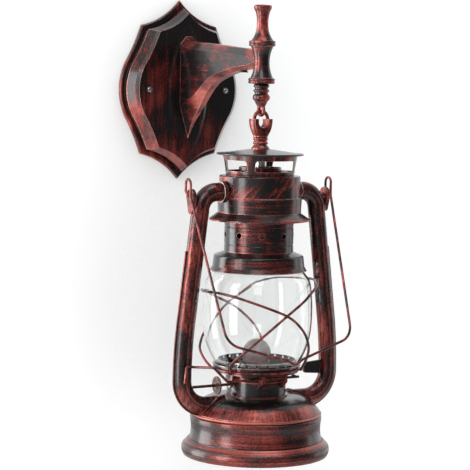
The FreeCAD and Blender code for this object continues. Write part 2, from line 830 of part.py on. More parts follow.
def lower_hook():
    inner = link_arc_r - link_wire_r
    arc = Part.makeTorus(link_arc_r, link_wire_r, V(0, 0, link_z), AY)
    wide = 2 * (link_arc_r + link_wire_r + over)
    arc = arc.common(Part.makeBox(wide, wide, wide, V(-wide / 2, -wide / 2, link_z)))
    collar_top = cap_z + link_collar_h
    waist_z = collar_top + link_waist_r / 6
    belly = (link_shoulder_r * link_belly_share, (link_z + waist_z) / 2)
    cup = turned([(0, link_z), (link_shoulder_r, link_z), (link_shoulder_r, link_z - link_wire_r / 2),
                  (belly, (link_waist_r, waist_z)), (0, waist_z)])
    slab = Part.makeBox(wide, 2 * link_half_t, link_body_h, V(-wide / 2, -link_half_t, cap_z))
    cup = cup.common(slab)
    third = link_collar_h / 3
    items = [(0, waist_z), (link_waist_r, waist_z), (link_waist_r, collar_top)]
    for k in (0, 1):
        a, b, c = [collar_top - third * (k + share) for share in link_ring_shares]
        items.append((link_waist_r - third / 4, a))
        items.append(((link_waist_r + pin_gap, b), (link_waist_r - third / 4, c)))
    items.append((link_waist_r - third / 4, collar_top - 2 * third))
    items.append((link_foot_r, cap_z + third / 4))
    items.append((link_foot_r, cap_z))
    items.append((0, cap_z))
    collar = turned(items)
    stud_end = drum_z - sheet - bridge_t - nut_h - stud_r / 2
    stud = Part.makeCylinder(stud_r, cap_z - stud_end, V(0, 0, stud_end))
    slot = Part.makeCylinder(inner, 2 * wide, V(0, -wide, link_z), AY)
    low_slot = Part.makeCylinder(inner, 2 * wide, V(0, -wide, link_z - link_slot_drop), AY)
    mid_slot = Part.makeBox(2 * inner, 2 * wide, link_slot_drop, V(-inner, -wide, link_z - link_slot_drop))
    cup = cup.cut(slot).cut(low_slot).cut(mid_slot)
    return hung(joined([arc, cup, collar, stud]))


def hex_nut(radius, bore, low, height):
    turns = [2 * math.pi / hex_sides * k for k in range(hex_sides)]
    points = [V(radius * math.cos(turn), radius * math.sin(turn), low) for turn in turns]
    prism = Part.Face(Part.makePolygon(points + points[:1])).extrude(V(0, 0, height))
    return prism.cut(Part.makeCylinder(bore, height + 2 * over, V(0, 0, low - over)))


def hook_nut():
    return hung(hex_nut(nut_r, stud_r + pin_gap, drum_z - sheet - bridge_t - nut_h, nut_h))


def centre_tube():
    return hung(tube(centre_tube_r, stud_r + pin_gap, drum_z, cap_z - sheet))


def cap():
    """Shallow cone with a rolled rim; a flat in its middle takes the hook's foot."""
    rim = cap_r - cap_rim_r
    rim_z = cap_rim_z
    items = [(stud_r + pin_gap, cap_z), (link_foot_r, cap_z), (rim, rim_z + cap_rim_r),
             (rim, rim_z + cap_rim_r - sheet), (link_foot_r, cap_z - sheet), (stud_r + pin_gap, cap_z - sheet)]
    body = turned(items)
    return hung(body.fuse(torus_ring(rim, cap_rim_r, rim_z + cap_rim_r - sheet / 2)).removeSplitter())


def vent_cage():
    foot = drum_z
    items = [(cage_top_r, cage_z), (cage_foot_r, foot), (cage_foot_r - sheet, foot), (cage_top_r - sheet, cage_z)]
    body = turned(items)
    reach = cage_top_r + over
    window = Part.makeBox(reach, window_w, window_h, V(0, -window_w / 2, cage_z - window_drop - window_h))
    corners = [e for e in window.Edges if abs(e.tangentAt(e.FirstParameter).x) > along_share]
    window = window.makeFillet(window_round, corners)
    for k in range(window_count):
        body = body.cut(around(window, 360 / window_count * k))
    return hung(body)


def bridge():
    """Strap across the drum's mouth that takes the hook's stud."""
    long = 2 * (drum_r - drum_round - sheet)
    strap = Part.makeBox(long, bridge_w, bridge_t, V(-long / 2, -bridge_w / 2, drum_z - sheet - bridge_t))
    strap = strap.common(Part.makeCylinder(long / 2, 3 * bridge_t, V(0, 0, drum_z - 3 * bridge_t)))
    rise = Part.makeBox(2 * flue_r, bridge_w, sheet, V(-flue_r, -bridge_w / 2, drum_z - sheet))
    low = drum_z - sheet - bridge_t
    bore = Part.makeCylinder(stud_r + pin_gap, sheet + bridge_t + 2 * over, V(0, 0, low - over))
    return hung(strap.fuse(rise).cut(bore).removeSplitter())


def flue():
    top = drum_z + flue_rise
    body = tube(flue_r, flue_r - sheet, top - flue_h, top)
    gap = bridge_w + 2 * seat_gap
    long = 2 * flue_r + 2 * over
    low = V(-long / 2, -gap / 2, drum_z - sheet - bridge_t - seat_gap)
    strap = Part.makeBox(long, gap, bridge_t + sheet + 2 * seat_gap, low)
    return hung(body.cut(strap))


def tube_section(grow, ribs):
    """Section of the side tube in its own plane: u away from the lantern, v towards the wall."""
    out = tube_out + grow
    inn = tube_in + grow
    half = tube_half_t + grow
    rib = tube_rib_w / 2 if ribs else 0
    points = []

    def place(u, v):
        return V(0, v, u)

    def quarter(a, u_sign, v_sign):
        t = math.acos(rib / a)
        return place(u_sign * a * math.cos(t), v_sign * half * math.sin(t))

    def bow(a, u_sign):
        first = quarter(a, u_sign, 1)
        last = quarter(a, u_sign, -1)
        steep = a * bow_u_share
        by_a = place(u_sign * steep, half * bow_v_share)
        by_b = place(u_sign * steep, -half * bow_v_share)
        tip = place(u_sign * a, 0)
        curve = Part.BSplineCurve()
        curve.interpolate([first, by_a, tip, by_b, last])
        return curve.toShape(), first, last

    outer, out_a, out_b = bow(out, 1)
    inner, in_a, in_b = bow(inn, -1)
    if not ribs:
        return Part.Wire(Part.__sortEdges__([outer, inner]))
    high = half + tube_rib_h
    edges = [outer, inner]
    for a, b, sign in ((out_a, in_a, 1), (out_b, in_b, -1)):
        up_a = place(rib, sign * high)
        up_b = place(-rib, sign * high)
        edges += [Part.makeLine(a, up_a), Part.makeLine(up_a, up_b), Part.makeLine(up_b, b)]
    return Part.Wire(Part.__sortEdges__(edges))


def tube_points():
    """Corner points of the right tube's middle line, from the drum to the tank."""
    splay = math.radians(leg_splay)
    corner = V(arch_x + arch_r * math.tan((math.pi / 2 - splay) / 2), 0, tube_z)
    knee_z = corner.z - (leg_x - corner.x) / math.tan(splay)
    return [V(tube_start_x, 0, tube_z), corner, V(leg_x, 0, knee_z), V(leg_x, 0, tube_foot_z),
            V(tube_end_x, 0, tube_foot_z)]


def tube_path():
    points = tube_points()
    straight = points[2].z - tube_foot_z - elbow_r
    leg_r = leg_bend_share * straight / math.tan(math.radians(leg_splay) / 2)
    return rounded_path(points, [arch_r, leg_r, elbow_r])


def tube_inner_x(z):
    """Inner side of the right tube, at a height on its leg or its elbow."""
    below = max(0, tube_foot_z + elbow_r - z)
    inner = elbow_r - tube_in
    return leg_x - elbow_r + math.sqrt(max(0, inner ** 2 - below ** 2))


def swept(section, path):
    """Sweep a section, drawn at the start of the tube's path, along the path."""
    section.translate(V(tube_start_x, 0, tube_z))
    return path.makePipeShell([section], True, False)


def tube_outer():
    return swept(tube_section(0, True), tube_path())


def tube_inner():
    return swept(tube_section(-tube_wall, False), tube_path())


def tube_fin():
    """Seam that stands out on the outer side of the leg and the elbow."""
    low = tube_out - tube_wall / 2
    high = tube_out + fin_w
    corners = [V(0, -fin_t / 2, low), V(0, fin_t / 2, low), V(0, fin_t / 2, high), V(0, -fin_t / 2, high)]
    section = Part.makePolygon(corners + corners[:1])
    fin = swept(section, tube_path())
    low = tube_foot_z - tube_out - 2 * fin_w
    keep = Part.makeBox(2 * leg_x, 2 * tube_out, tube_z - fin_drop - low, V(0, -tube_out, low))
    return fin.common(keep)


def side_tube():
    body = tube_outer().fuse(tube_fin()).removeSplitter()
    return body.cut(tube_inner()).cut(dome_body(0)).cut(dome_bead(seat_gap))


def dome_items(shrink):
    """Outer line of the tank's dome."""
    top = tank_z - shrink
    side = dome_r - shrink
    drop = tank_dome_h - shrink
    wide = side - tank_flat_r
    bow_r = (wide ** 2 + drop ** 2) / (2 * drop)
    bow_x = wide * dome_r_share
    bow = (tank_flat_r + bow_x, top - bow_r + math.sqrt(bow_r ** 2 - bow_x ** 2))
    return [(neck_r, top), (tank_flat_r, top), (bow, (side, tank_shoulder_z))]


def dome_body(shrink):
    """Filled form of the dome, down to its joint."""
    items = [(0, tank_z - shrink)] + dome_items(shrink)
    items += [(dome_r - shrink, tank_joint_z), (0, tank_joint_z)]
    return turned(items)


def dome_bead(grow):
    """Bead round the dome's foot."""
    return torus_ring(tank_r - bead_in, bead_in + grow, tank_joint_z + bead_in)


def tank_dome():
    """Upper shell of the tank, with a bead at the joint."""
    body = dome_body(0)
    body = body.fuse(dome_bead(0)).removeSplitter()
    hollow_items = [(0, tank_z - sheet)] + dome_items(sheet)
    hollow_items += [(dome_r - sheet, tank_joint_z - over), (0, tank_joint_z - over)]
    body = body.cut(turned(hollow_items))
    body = body.cut(Part.makeCylinder(neck_r - sheet, tank_dome_h, V(0, 0, tank_z - tank_dome_h / 2)))
    bore = tube_inner()
    body = body.cut(bore).cut(mirrored(bore))
    return hung(body)


def tank_socket():
    """Soldered collar round the right tube where it enters the dome."""
    ring = swept(tube_section(socket_wall, False), tube_path()).common(dome_body(-socket_reach))
    ring = ring.cut(dome_body(-seat_gap)).cut(dome_bead(seat_gap))
    return ring.cut(tube_outer()).cut(tube_fin())


def tank_base():
    """Waist, flared skirt and rolled foot, with a pressed groove at each change."""
    waist, belly, turn = base_shares
    band_foot = tank_joint_z - base_band_h
    foot_r = base_r - sheet * turn
    rim_r = base_r - sheet
    step_r = skirt_top_r + skirt_step_w
    step_z = skirt_z - skirt_step_h
    waist_z = band_foot + (skirt_z - band_foot) * waist
    belly_z = base_rim_z - base_ring_h * belly
    items = [(tank_r - bead_in, tank_joint_z), (tank_r, tank_joint_z - bead_in), (tank_r, band_foot),
             ((tank_waist_r, waist_z), (skirt_top_r, skirt_z)), (step_r, step_z), (rim_r, base_rim_z),
             ((base_r, belly_z), (foot_r, foot_z)), (foot_r - base_turn, foot_z),
             (foot_r - base_turn, foot_z + sheet), (foot_r - sheet, foot_z + sheet),
             ((base_r - sheet, belly_z), (rim_r - sheet, base_rim_z)), (step_r - sheet, step_z - sheet),
             (skirt_top_r - sheet, skirt_z - sheet), ((tank_waist_r - sheet, waist_z), (tank_r - sheet, band_foot)),
             (tank_r - sheet, tank_joint_z - bead_in), (tank_r - bead_in - sheet, tank_joint_z)]
    body = turned(items)
    for radius, z in ((tank_r, band_foot), (skirt_top_r, skirt_z), (rim_r, base_rim_z)):
        body = body.cut(torus_ring(radius + groove_r - groove_depth, groove_r, z))
    return hung(body)


def tank_floor():
    """Floor that closes the tank, with a hole for the nipple's spanner."""
    low = skirt_z - sheet - floor_t
    disc = Part.makeCylinder(skirt_top_r - sheet - 2 * seat_gap, floor_t, V(0, 0, low))
    hole = Part.makeCylinder(inlet_r, 2 * over + floor_t, V(0, tank_r / 2, low - over))
    return hung(disc.cut(hole))


def upper_drum():
    bevel = drum_round * bevel_share
    items = [(drum_mouth_r, drum_z), (drum_r - drum_round, drum_z),
             ((drum_r - bevel, drum_z - bevel), (drum_r, drum_z - drum_round)), (drum_r, drum_z - drum_h)]
    body = pressed(items, sheet)
    body = body.cut(tube_outer()).cut(mirrored(tube_outer()))
    for drop in vent_pin_drops:
        pin = Part.makeCylinder(vent_pin_r, drum_r + over, V(0, 0, drum_z - drop), AX)
        body = body.cut(around(pin, vent_pin_angle))
    hole = Part.makeCylinder(inlet_r, drum_r, V(0, drum_r / 2, drum_z - inlet_drop), AY)
    return hung(body.cut(hole))


def drum_socket():
    """Soldered collar round the right tube where it enters the drums."""
    section = Part.Face(tube_section(socket_wall, False))
    section.translate(V(tube_start_x, 0, tube_z))
    reach = math.sqrt(low_drum_r ** 2 - tube_half_t ** 2) + socket_reach
    ring = section.extrude(V(reach - tube_start_x, 0, 0)).cut(tube_outer())
    drums = Part.makeCylinder(low_drum_r + seat_gap, 4 * tube_out, V(0, 0, tube_z - 2 * tube_out))
    return ring.cut(drums)


def inlet_bush():
    """Bush for the lead at the back of the drum."""
    bush = lead_bush(inlet_r, bush_wall, bush_lip * 3, bush_lip)
    bush.rotate(V(0, 0, 0), AX, 90)
    bush.translate(V(0, drum_r + bush_lip / 2, drum_z - inlet_drop))
    drum = Part.makeCylinder(drum_r + seat_gap, drum_h, V(0, 0, drum_z - drum_h))
    hole = Part.makeCylinder(inlet_r - seat_gap, drum_r, V(0, drum_r / 2, drum_z - inlet_drop), AY)
    outside = bush.cut(drum)
    inside = bush.common(hole)
    return hung(outside.fuse(inside).removeSplitter())


def lower_drum():
    items = [(drum_r - sheet, low_drum_z), (low_drum_r - drum_round / 2, low_drum_z),
             (low_drum_r, low_drum_z - drum_round / 2), (low_drum_foot_r, brim_z)]
    body = pressed(items, sheet)
    return hung(body.cut(tube_outer()).cut(mirrored(tube_outer())))


def brim():
    """Sloping brim with a flat underside that guides the perforated drum."""
    rim_z = brim_z - brim_fall
    foot = brim_foot_z
    mouth = perf_r + run_gap
    root = low_drum_foot_r - 2 * sheet
    items = [(root, brim_z - seat_gap), (low_drum_foot_r, brim_z - seat_gap), (brim_r, rim_z), (brim_r, foot),
             (mouth, foot), (mouth, foot + sheet), (brim_r - 2 * sheet, foot + sheet), (root, brim_z - 2 * sheet)]
    return hung(turned(items))


def perforated_drum():
    top = perf_foot_z + perf_h
    body = tube(perf_r, perf_r - sheet, perf_foot_z, top)
    z = brim_foot_z - perf_hole_drop
    for k in range(1, perf_hole_count):
        angle = perf_phase + 360 / perf_hole_count * k
        body = body.cut(around(Part.makeCylinder(perf_hole_r, perf_r + over, V(0, 0, z), AX), angle))
    for drop in groove_drops:
        body = body.cut(torus_ring(perf_r + groove_r - groove_depth, groove_r, brim_foot_z - drop))
    stamp = Part.makeCylinder(knock_r, perf_r + over, V(0, 0, z), AX)
    stamp = stamp.cut(Part.makeCylinder(knock_r - knock_wall, perf_r + over, V(0, 0, z), AX))
    skin = tube(perf_r + knock_proud, perf_r - sheet / 2, z - 2 * knock_r, z + 2 * knock_r)
    return hung(body.fuse(around(stamp, perf_phase).common(skin)).removeSplitter())


def globe_collar():
    start, by_x, by_z = [collar_shoulder_h * share for share in collar_round_shares]
    by = (collar_shoulder_r - by_x, shoulder_z + by_z)
    items = [(perf_r - 2 * sheet, perf_foot_z), (perf_r, perf_foot_z),
             (collar_shoulder_r - collar_shoulder_h / 2, shoulder_z + start),
             (by, (collar_shoulder_r, shoulder_z)), (collar_band_r, band_z), (collar_rim_r, collar_z)]
    return hung(pressed(items, sheet))


def globe():
    """Clear barrel of blown glass, open at both ends."""
    rings = [(glass_r * wide, glass_z + glass_h * high) for high, wide in globe_shares]
    outer = Part.BSplineCurve()
    outer.interpolate([V(r, 0, z) for r, z in rings])
    inner = Part.BSplineCurve()
    inner.interpolate([V(r - glass_wall, 0, z) for r, z in rings])
    first = rings[0]
    last = rings[-1]
    foot = Part.makeLine(V(first[0], 0, first[1]), V(first[0] - glass_wall, 0, first[1]))
    lip = Part.makeLine(V(last[0], 0, last[1]), V(last[0] - glass_wall, 0, last[1]))
    edges = Part.__sortEdges__([outer.toShape(), foot, inner.toShape(), lip])
    return hung(Part.Face(Part.Wire(edges)).revolve(V(0, 0, 0), AZ, 360))


def globe_plate():
    """Perforated gallery, flange for the globe, band, and skirt that slides on the neck."""
    inner = neck_sleeve_r + run_gap
    low = under_z - skirt_h
    items = [(inner, low), (skirt_r, low), (skirt_r, under_z), (band_r, under_z), (band_r, flange_z - sheet),
             (plate_flange_r, flange_z - sheet), (plate_flange_r, flange_z), (gallery_r, flange_z),
             (gallery_r, flange_z + gallery_h), (gallery_r - sheet, flange_z + gallery_h),
             (gallery_r - sheet, flange_z - sheet), (band_r - sheet, flange_z - sheet * band_step_share),
             (band_r - sheet, under_z + sheet), (inner, under_z + sheet)]
    body = turned(items)
    slot = Part.makeBox(gallery_r + over, slot_w, slot_h, V(0, -slot_w / 2, flange_z + gallery_h / 4))
    for k in range(gallery_slots):
        body = body.cut(around(slot, 360 / gallery_slots * k))
    middle = (skirt_r + band_r) / 2
    for k in range(plate_vents):
        hole = Part.makeCylinder(vent_r, sheet + 2 * over, V(middle, 0, under_z - over))
        body = body.cut(around(hole, 360 / plate_vents * (k + 1 / 2)))
    return hung(body)


def guard_ring():
    return hung(torus_ring(guard_ring_r, wire_r, ring_z))


def hoop_half(outer, foot_angle, high, shares):
    """Points of a hoop's front half, from its foot on the left to the tube on the right."""
    points = []
    foot = math.radians(180 + foot_angle)
    sweep = 2 * math.pi - foot
    narrow = guard_ring_r + 2 * wire_r + seat_gap
    for turn, rise, wide in shares:
        angle = foot + sweep * turn
        radius = narrow + (outer - narrow) * wide
        points.append(V(radius * math.cos(angle), radius * math.sin(angle), ring_z + high * rise))
    return points


def guard_hoop(outer, foot_angle, high, shares):
    """Wire that crosses in front of the globe, bends beside the right tube and comes back behind."""
    front = hoop_half(outer, foot_angle, high, shares)
    tip_y = wire_r * hoop_tip_share
    tip = [V(outer + hoop_nose, -tip_y, front[-1].z), V(outer + hoop_nose, tip_y, front[-1].z)]
    back = [V(p.x, -p.y, p.z) for p in reversed(front)]
    points = front + tip + back
    radii = easy_radii(points, 4 * hoop_r)
    return bent_wire(points, radii, wire_r)


def burner_neck():
    """Pressed cup that carries the lampholder and guides the globe plate."""
    inside = neck_sleeve_r - sheet
    step = neck_r - sheet - seat_gap
    bore = nipple_r + pin_gap
    top = neck_z + neck_sleeve_h
    items = [(neck_r, neck_z), (neck_r, neck_foot_z), (neck_bead_r, neck_foot_z), (neck_bead_r, tank_z),
             (step, tank_z), (step, tank_z - 2 * sheet), (bore, tank_z - 2 * sheet), (bore, tank_z - sheet),
             (inside, tank_z - sheet), (inside, top), (neck_sleeve_r, top), (neck_sleeve_r, neck_z)]
    body = turned(items)
    bush = Part.makeCylinder(wick_bush_r * wick_bush_neck_share, neck_r, V(0, 0, wick_z), V(-1, 0, 0))
    return hung(body.cut(bush))


def neck_lugs():
    """Two eyes in which the lift lever turns."""
    front = -lever_y - wire_r - lug_w
    back = -lever_y + wire_r + lug_w
    top = under_z - run_gap
    seat = -math.sqrt(neck_r ** 2 - (lug_x + lug_t / 2) ** 2) + lug_w / 2
    gap_y = -math.sqrt(skirt_r ** 2 - (lug_x - lug_t / 2) ** 2) - run_gap
    step_z = neck_z - run_gap
    points = [(seat, step_z), (gap_y, step_z), (gap_y, top), (front, top), (front, lever_z - wire_r - lug_w),
              (seat, step_z - lug_foot_h)]
    shapes = []
    keep_out = Part.makeCylinder(neck_r, 2 * neck_show_h, V(0, 0, neck_z - 2 * neck_show_h + over))
    for sx in (-1, 1):
        x = sx * lug_x - lug_t / 2
        outline = [V(x, y, z) for y, z in points]
        lug = Part.Face(Part.makePolygon(outline + outline[:1])).extrude(V(lug_t, 0, 0))
        lug = lug.cut(Part.makeCylinder(wire_r + pin_gap, 3 * lug_t, V(x - lug_t, -lever_y, lever_z), AX))
        shapes.append(lug.cut(keep_out))
    return hung(Part.makeCompound(shapes))


def lampholder():
    """Porcelain holder that stands on the neck's floor."""
    low = tank_z - sheet
    body = Part.makeCylinder(holder_r, holder_h, V(0, 0, low))
    body = body.cut(Part.makeCylinder(lamp_cap_r + run_gap, holder_h, V(0, 0, low + holder_floor)))
    return hung(body.cut(Part.makeCylinder(contact_r, holder_floor + 2 * over, V(0, 0, low - over))))


def holder_contact():
    low = tank_z - sheet
    pillar = Part.makeCylinder(contact_r - seat_gap, holder_floor, V(0, 0, low))
    head = Part.makeCylinder(contact_r * contact_head_share, contact_h / 2, V(0, 0, low + holder_floor))
    return hung(pillar.fuse(head).removeSplitter())


def holder_cover():
    """Painted sleeve round the lampholder."""
    low = tank_z - sheet
    return hung(tube(cover_r, holder_r + pin_gap, low + holder_h / 4, low + holder_h + cover_h / 2))


def nipple():
    low = tank_z - sheet - nipple_h
    pipe = tube(nipple_r, nipple_bore, low, tank_z - sheet)
    return hung(pipe)


def nipple_nut():
    return hung(hex_nut(nipple_nut_r, nipple_r + pin_gap, tank_z - 2 * sheet - nipple_nut_h, nipple_nut_h))


def lamp_levels():
    cap_low = tank_z - sheet + holder_floor + contact_h
    neck = cap_low + lamp_cap_h
    return cap_low, neck, neck + lamp_body_h


def lamp_cap():
    """Threaded metal cap of the lamp."""
    low, high, _ = lamp_levels()
    pitch = (high - low) / (lamp_turns + 1)
    root = lamp_cap_r - pitch / 4
    tip = low - contact_h / 2
    items = [(0, tip), (contact_r, tip), (contact_r * lamp_tip_share, low), (root, low + pitch / 3)]
    start, run = thread_shares
    for k in range(lamp_turns):
        z = low + pitch * (k + start)
        items.append((root, z))
        items.append(((lamp_cap_r, z + pitch / 2), (root, z + pitch * run)))
    items += [(lamp_cap_r, high - pitch / 4), (lamp_cap_r, high), (0, high)]
    return hung(turned(items))


def lamp_bulb():
    """Frosted lamp: a neck inside the holder's cover and a round crown above it."""
    _, low, high = lamp_levels()
    slant = lamp_r / math.sqrt(2)
    wide = low + lamp_body_h * lamp_neck_share
    root = high - math.sqrt(lamp_r ** 2 - lamp_neck_r ** 2)
    items = [(0, low), (lamp_cap_r - seat_gap, low), (lamp_neck_r, wide), (lamp_neck_r, root),
             ((slant, high + slant), (0, high + lamp_r))]
    return hung(turned(items))


def ear():
    """Soldered lug for the bail, teardrop shaped, flat against the outside of the tube."""
    x = ear_x - ear_t / 2
    head = Part.makeCylinder(ear_r, ear_t, V(x, 0, pin_z), AX)
    tail_z = pin_z - ear_tail
    tail = Part.makeCylinder(ear_tail_r, ear_t, V(x, 0, tail_z), AX)
    lean = math.asin((ear_r - ear_tail_r) / ear_tail)
    corners = []
    ends = ((1, ear_r, pin_z), (1, ear_tail_r, tail_z), (-1, ear_tail_r, tail_z), (-1, ear_r, pin_z))
    for sign, radius, z in ends:
        corners.append(V(x, sign * radius * math.cos(lean), z - radius * math.sin(lean)))
    web = Part.Face(Part.makePolygon(corners + corners[:1])).extrude(V(ear_t, 0, 0))
    foot = Part.makeCylinder(ear_tail_r, ear_foot_t, V(x - ear_foot_t + ear_t, 0, tail_z), AX)
    body = joined([head, tail, web, foot])
    body = body.cut(Part.makeCylinder(wire_r + ear_hole_play, 3 * ear_t, V(x - ear_t, 0, pin_z), AX))
    return body.cut(tube_outer()).cut(tube_fin())


def bail():
    """Wire handle with a long eye at each end; each eye ends in a pin through its ear."""
    out = ear_x + ear_t / 2 + 2 * run_gap + wire_r
    half = bail_eye_w / 2
    top = pin_z + bail_eye_h
    lean = math.radians(bail_lean)

    def hanging(x, w):
        return V(x, -half - w * math.sin(lean), pin_z - w * math.cos(lean))

    eye = [V(ear_x - ear_t / 2 - pin_past, 0, pin_z), V(out, 0, pin_z), V(out, half, pin_z + half),
           V(out, half, top), V(out, -half, top), hanging(out, 0)]
    right = eye + [hanging(bail_corner_x, bail_corner_w), hanging(bail_notch_half_w, bail_notch_w)]
    left = [V(-p.x, p.y, p.z) for p in reversed(right)]
    points = right + [hanging(0, bail_len)] + left
    tight = 2 * wire_r
    small = [tight] + [half * share for share in eye_bend_shares]
    notch = [bail_bend_r, notch_bend_r, notch_bend_r, notch_bend_r, bail_bend_r]
    radii = small + notch + list(reversed(small))
    return hung(bent_wire(points, radii, wire_r))


def lift_lever():
    """Cranked wire: axis in the neck's lugs, handle in front of the left tube, two lifting fingers."""
    y = -lever_y
    high = lever_z + lever_rise
    crank = V(-lever_rise_x, y * lever_crank_share, high)
    points = [V(lever_right_x, y, lever_z), V(-lever_left_x, y, lever_z), crank,
              V(-lever_handle_x + lever_bend_r, -lever_front_y, high - lever_bend_r / 4),
              V(-lever_handle_x - lever_bend_r, -lever_front_y, high),
              V(-lever_tail_x, -lever_front_y, high - lever_tail_drop)]
    radii = [lever_bend_r, lever_bend_r, lever_bend_r, lever_bend_r / 2]
    rod = bent_wire(points, radii, wire_r)
    tip_z = under_z - run_gap - wire_r
    rise = tip_z - lever_z
    tip_y = y + math.sqrt(finger_len ** 2 - rise ** 2)
    shapes = [rod]
    for sx in (-1, 1):
        start = V(sx * finger_x, y, lever_z)
        way = V(sx * finger_x, tip_y, tip_z) - start
        shapes.append(Part.makeCylinder(wire_r * finger_share, way.Length, start, way))
        shapes.append(Part.makeSphere(wire_r, V(sx * finger_x, tip_y, tip_z)))
    return hung(joined(shapes))


def guide_tab():
    """Small plate on the right tube's inner side that keeps the rising globe plate in line."""
    middle = under_z - tab_drop
    points = [(tab_x, tab_h / 2), (leg_x, tab_root_h / 2), (leg_x, -tab_root_h / 2), (tab_x, -tab_h / 2)]
    outline = [V(x, -tab_t / 2, middle + z) for x, z in points]
    plate = Part.Face(Part.makePolygon(outline + outline[:1])).extrude(V(0, tab_t, 0))
    corners = [e for e in plate.Edges if abs(e.tangentAt(e.FirstParameter).y) > along_share]
    corners = [e for e in corners if e.CenterOfMass.x < tab_x + over]
    return hung(plate.makeFillet(tab_h / 4, corners).cut(tube_outer()))


def wick_bush():
    """Bush in the neck's wall that carries the spindle."""
    x = -neck_r - wick_bush_len / 2
    narrow = wick_bush_r * wick_bush_neck_share
    body = Part.makeCylinder(wick_bush_r, wick_bush_len / 2, V(x, 0, wick_z), AX)
    body = body.fuse(Part.makeCylinder(narrow - seat_gap, wick_bush_len, V(x, 0, wick_z), AX))
    start = V(x - wick_bush_len, 0, wick_z)
    body = body.cut(Part.makeCylinder(spindle_r + pin_gap, 3 * wick_bush_len, start, AX))
    barrel = tube(neck_r, neck_r - 2 * sheet, wick_z - 2 * wick_bush_r, wick_z + 2 * wick_bush_r)
    hole = Part.makeCylinder(narrow, neck_r, V(0, 0, wick_z), V(-1, 0, 0))
    return hung(body.cut(barrel.cut(hole)).removeSplitter())


def wick_spindle():
    end = -tube_inner_x(wick_z - spindle_r) + spindle_out_gap
    return hung(Part.makeCylinder(spindle_r, -spindle_in - end, V(end, 0, wick_z), AX))


def wick_wheel():
    """Thumb wheel with a toothed rim, dished on both sides, on a hub."""
    x = -wheel_x - wheel_t / 2
    points = []
    for k in range(2 * wheel_teeth):
        radius = wheel_r if k % 2 == 0 else wheel_r - tooth_h
        for side in (-1, 1):
            angle = math.pi / wheel_teeth * (k + side * tooth_half_share)
            points.append(V(x, radius * math.cos(angle), wick_z + radius * math.sin(angle)))
    disc = Part.Face(Part.makePolygon(points + points[:1])).extrude(V(wheel_t, 0, 0))
    dish_r = (wheel_dish_r + wheel_hub_r + sheet) / 2
    for side in (x, x + wheel_t):
        disc = disc.cut(Part.makeTorus(dish_r, wheel_t / 3, V(side, 0, wick_z), AX))
    hub = Part.makeCylinder(wheel_hub_r, wheel_hub_len, V(-wheel_x - wheel_hub_len / 2, 0, wick_z), AX)
    body = disc.fuse(hub)
    bore = Part.makeCylinder(spindle_r, 2 * wheel_hub_len, V(-wheel_x - wheel_hub_len, 0, wick_z), AX)
    return hung(body.cut(bore).removeSplitter())

os.makedirs("parts", exist_ok=True)
save(backplate(), "backplate")
save(wall_bar(), "wall_bar")
save(plate_screws(), "plate_screws")
save(earth_screw(), "earth_screw")
save(terminal_block(), "terminal_block")
save(arm(), "arm")
save(arm_screws(), "arm_screws")
save(arm_bush(), "arm_bush")
save(finial(), "finial")
save(tie_rod(), "tie_rod")
save(upper_hook(), "upper_hook")
save(lower_hook(), "lower_hook")
save(hook_nut(), "hook_nut")
save(centre_tube(), "centre_tube")
save(cap(), "cap")
save(vent_cage(), "vent_cage")
save(bridge(), "bridge")
save(flue(), "flue")
save(upper_drum(), "upper_drum")
save(inlet_bush(), "inlet_bush")
save(lower_drum(), "lower_drum")
save(brim(), "brim")
right_tube = side_tube()
save(hung(mirrored(right_tube)), "side_tube_left")
save(hung(right_tube), "side_tube_right")
right_socket = drum_socket()
save(hung(mirrored(right_socket)), "drum_socket_left")
save(hung(right_socket), "drum_socket_right")
right_ear = ear()
save(hung(mirrored(right_ear)), "ear_left")
save(hung(right_ear), "ear_right")
save(tank_dome(), "tank_dome")
right_foot = tank_socket()
save(hung(mirrored(right_foot)), "tank_socket_left")
save(hung(right_foot), "tank_socket_right")
save(tank_base(), "tank_base")
save(tank_floor(), "tank_floor")
save(burner_neck(), "burner_neck")
save(neck_lugs(), "neck_lugs")
save(guide_tab(), "guide_tab")
save(wick_bush(), "wick_bush")
save(lampholder(), "lampholder")
save(holder_contact(), "holder_contact")
save(holder_cover(), "holder_cover")
save(nipple(), "nipple")
save(nipple_nut(), "nipple_nut")
save(lamp_cap(), "lamp_cap")
save(lamp_bulb(), "lamp_bulb")
save(perforated_drum(), "perforated_drum")
save(globe_collar(), "globe_collar")
save(globe(), "globe")
save(globe_plate(), "globe_plate")
save(guard_ring(), "guard_ring")
left_hoop = guard_hoop(hoop_r, left_hoop_foot, left_hoop_h, left_hoop_shares)
save(hung(mirrored(left_hoop)), "guard_hoop_left")
outer_hoop_r = hoop_r + 2 * wire_r + run_gap
save(hung(guard_hoop(outer_hoop_r, right_hoop_foot, right_hoop_h, right_hoop_shares)), "guard_hoop_right")
save(bail(), "bail")
save(lift_lever(), "lift_lever")
save(wick_spindle(), "wick_spindle")
save(wick_wheel(), "wick_wheel")
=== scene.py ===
import math

import bpy
from mathutils import Matrix, Vector, noise


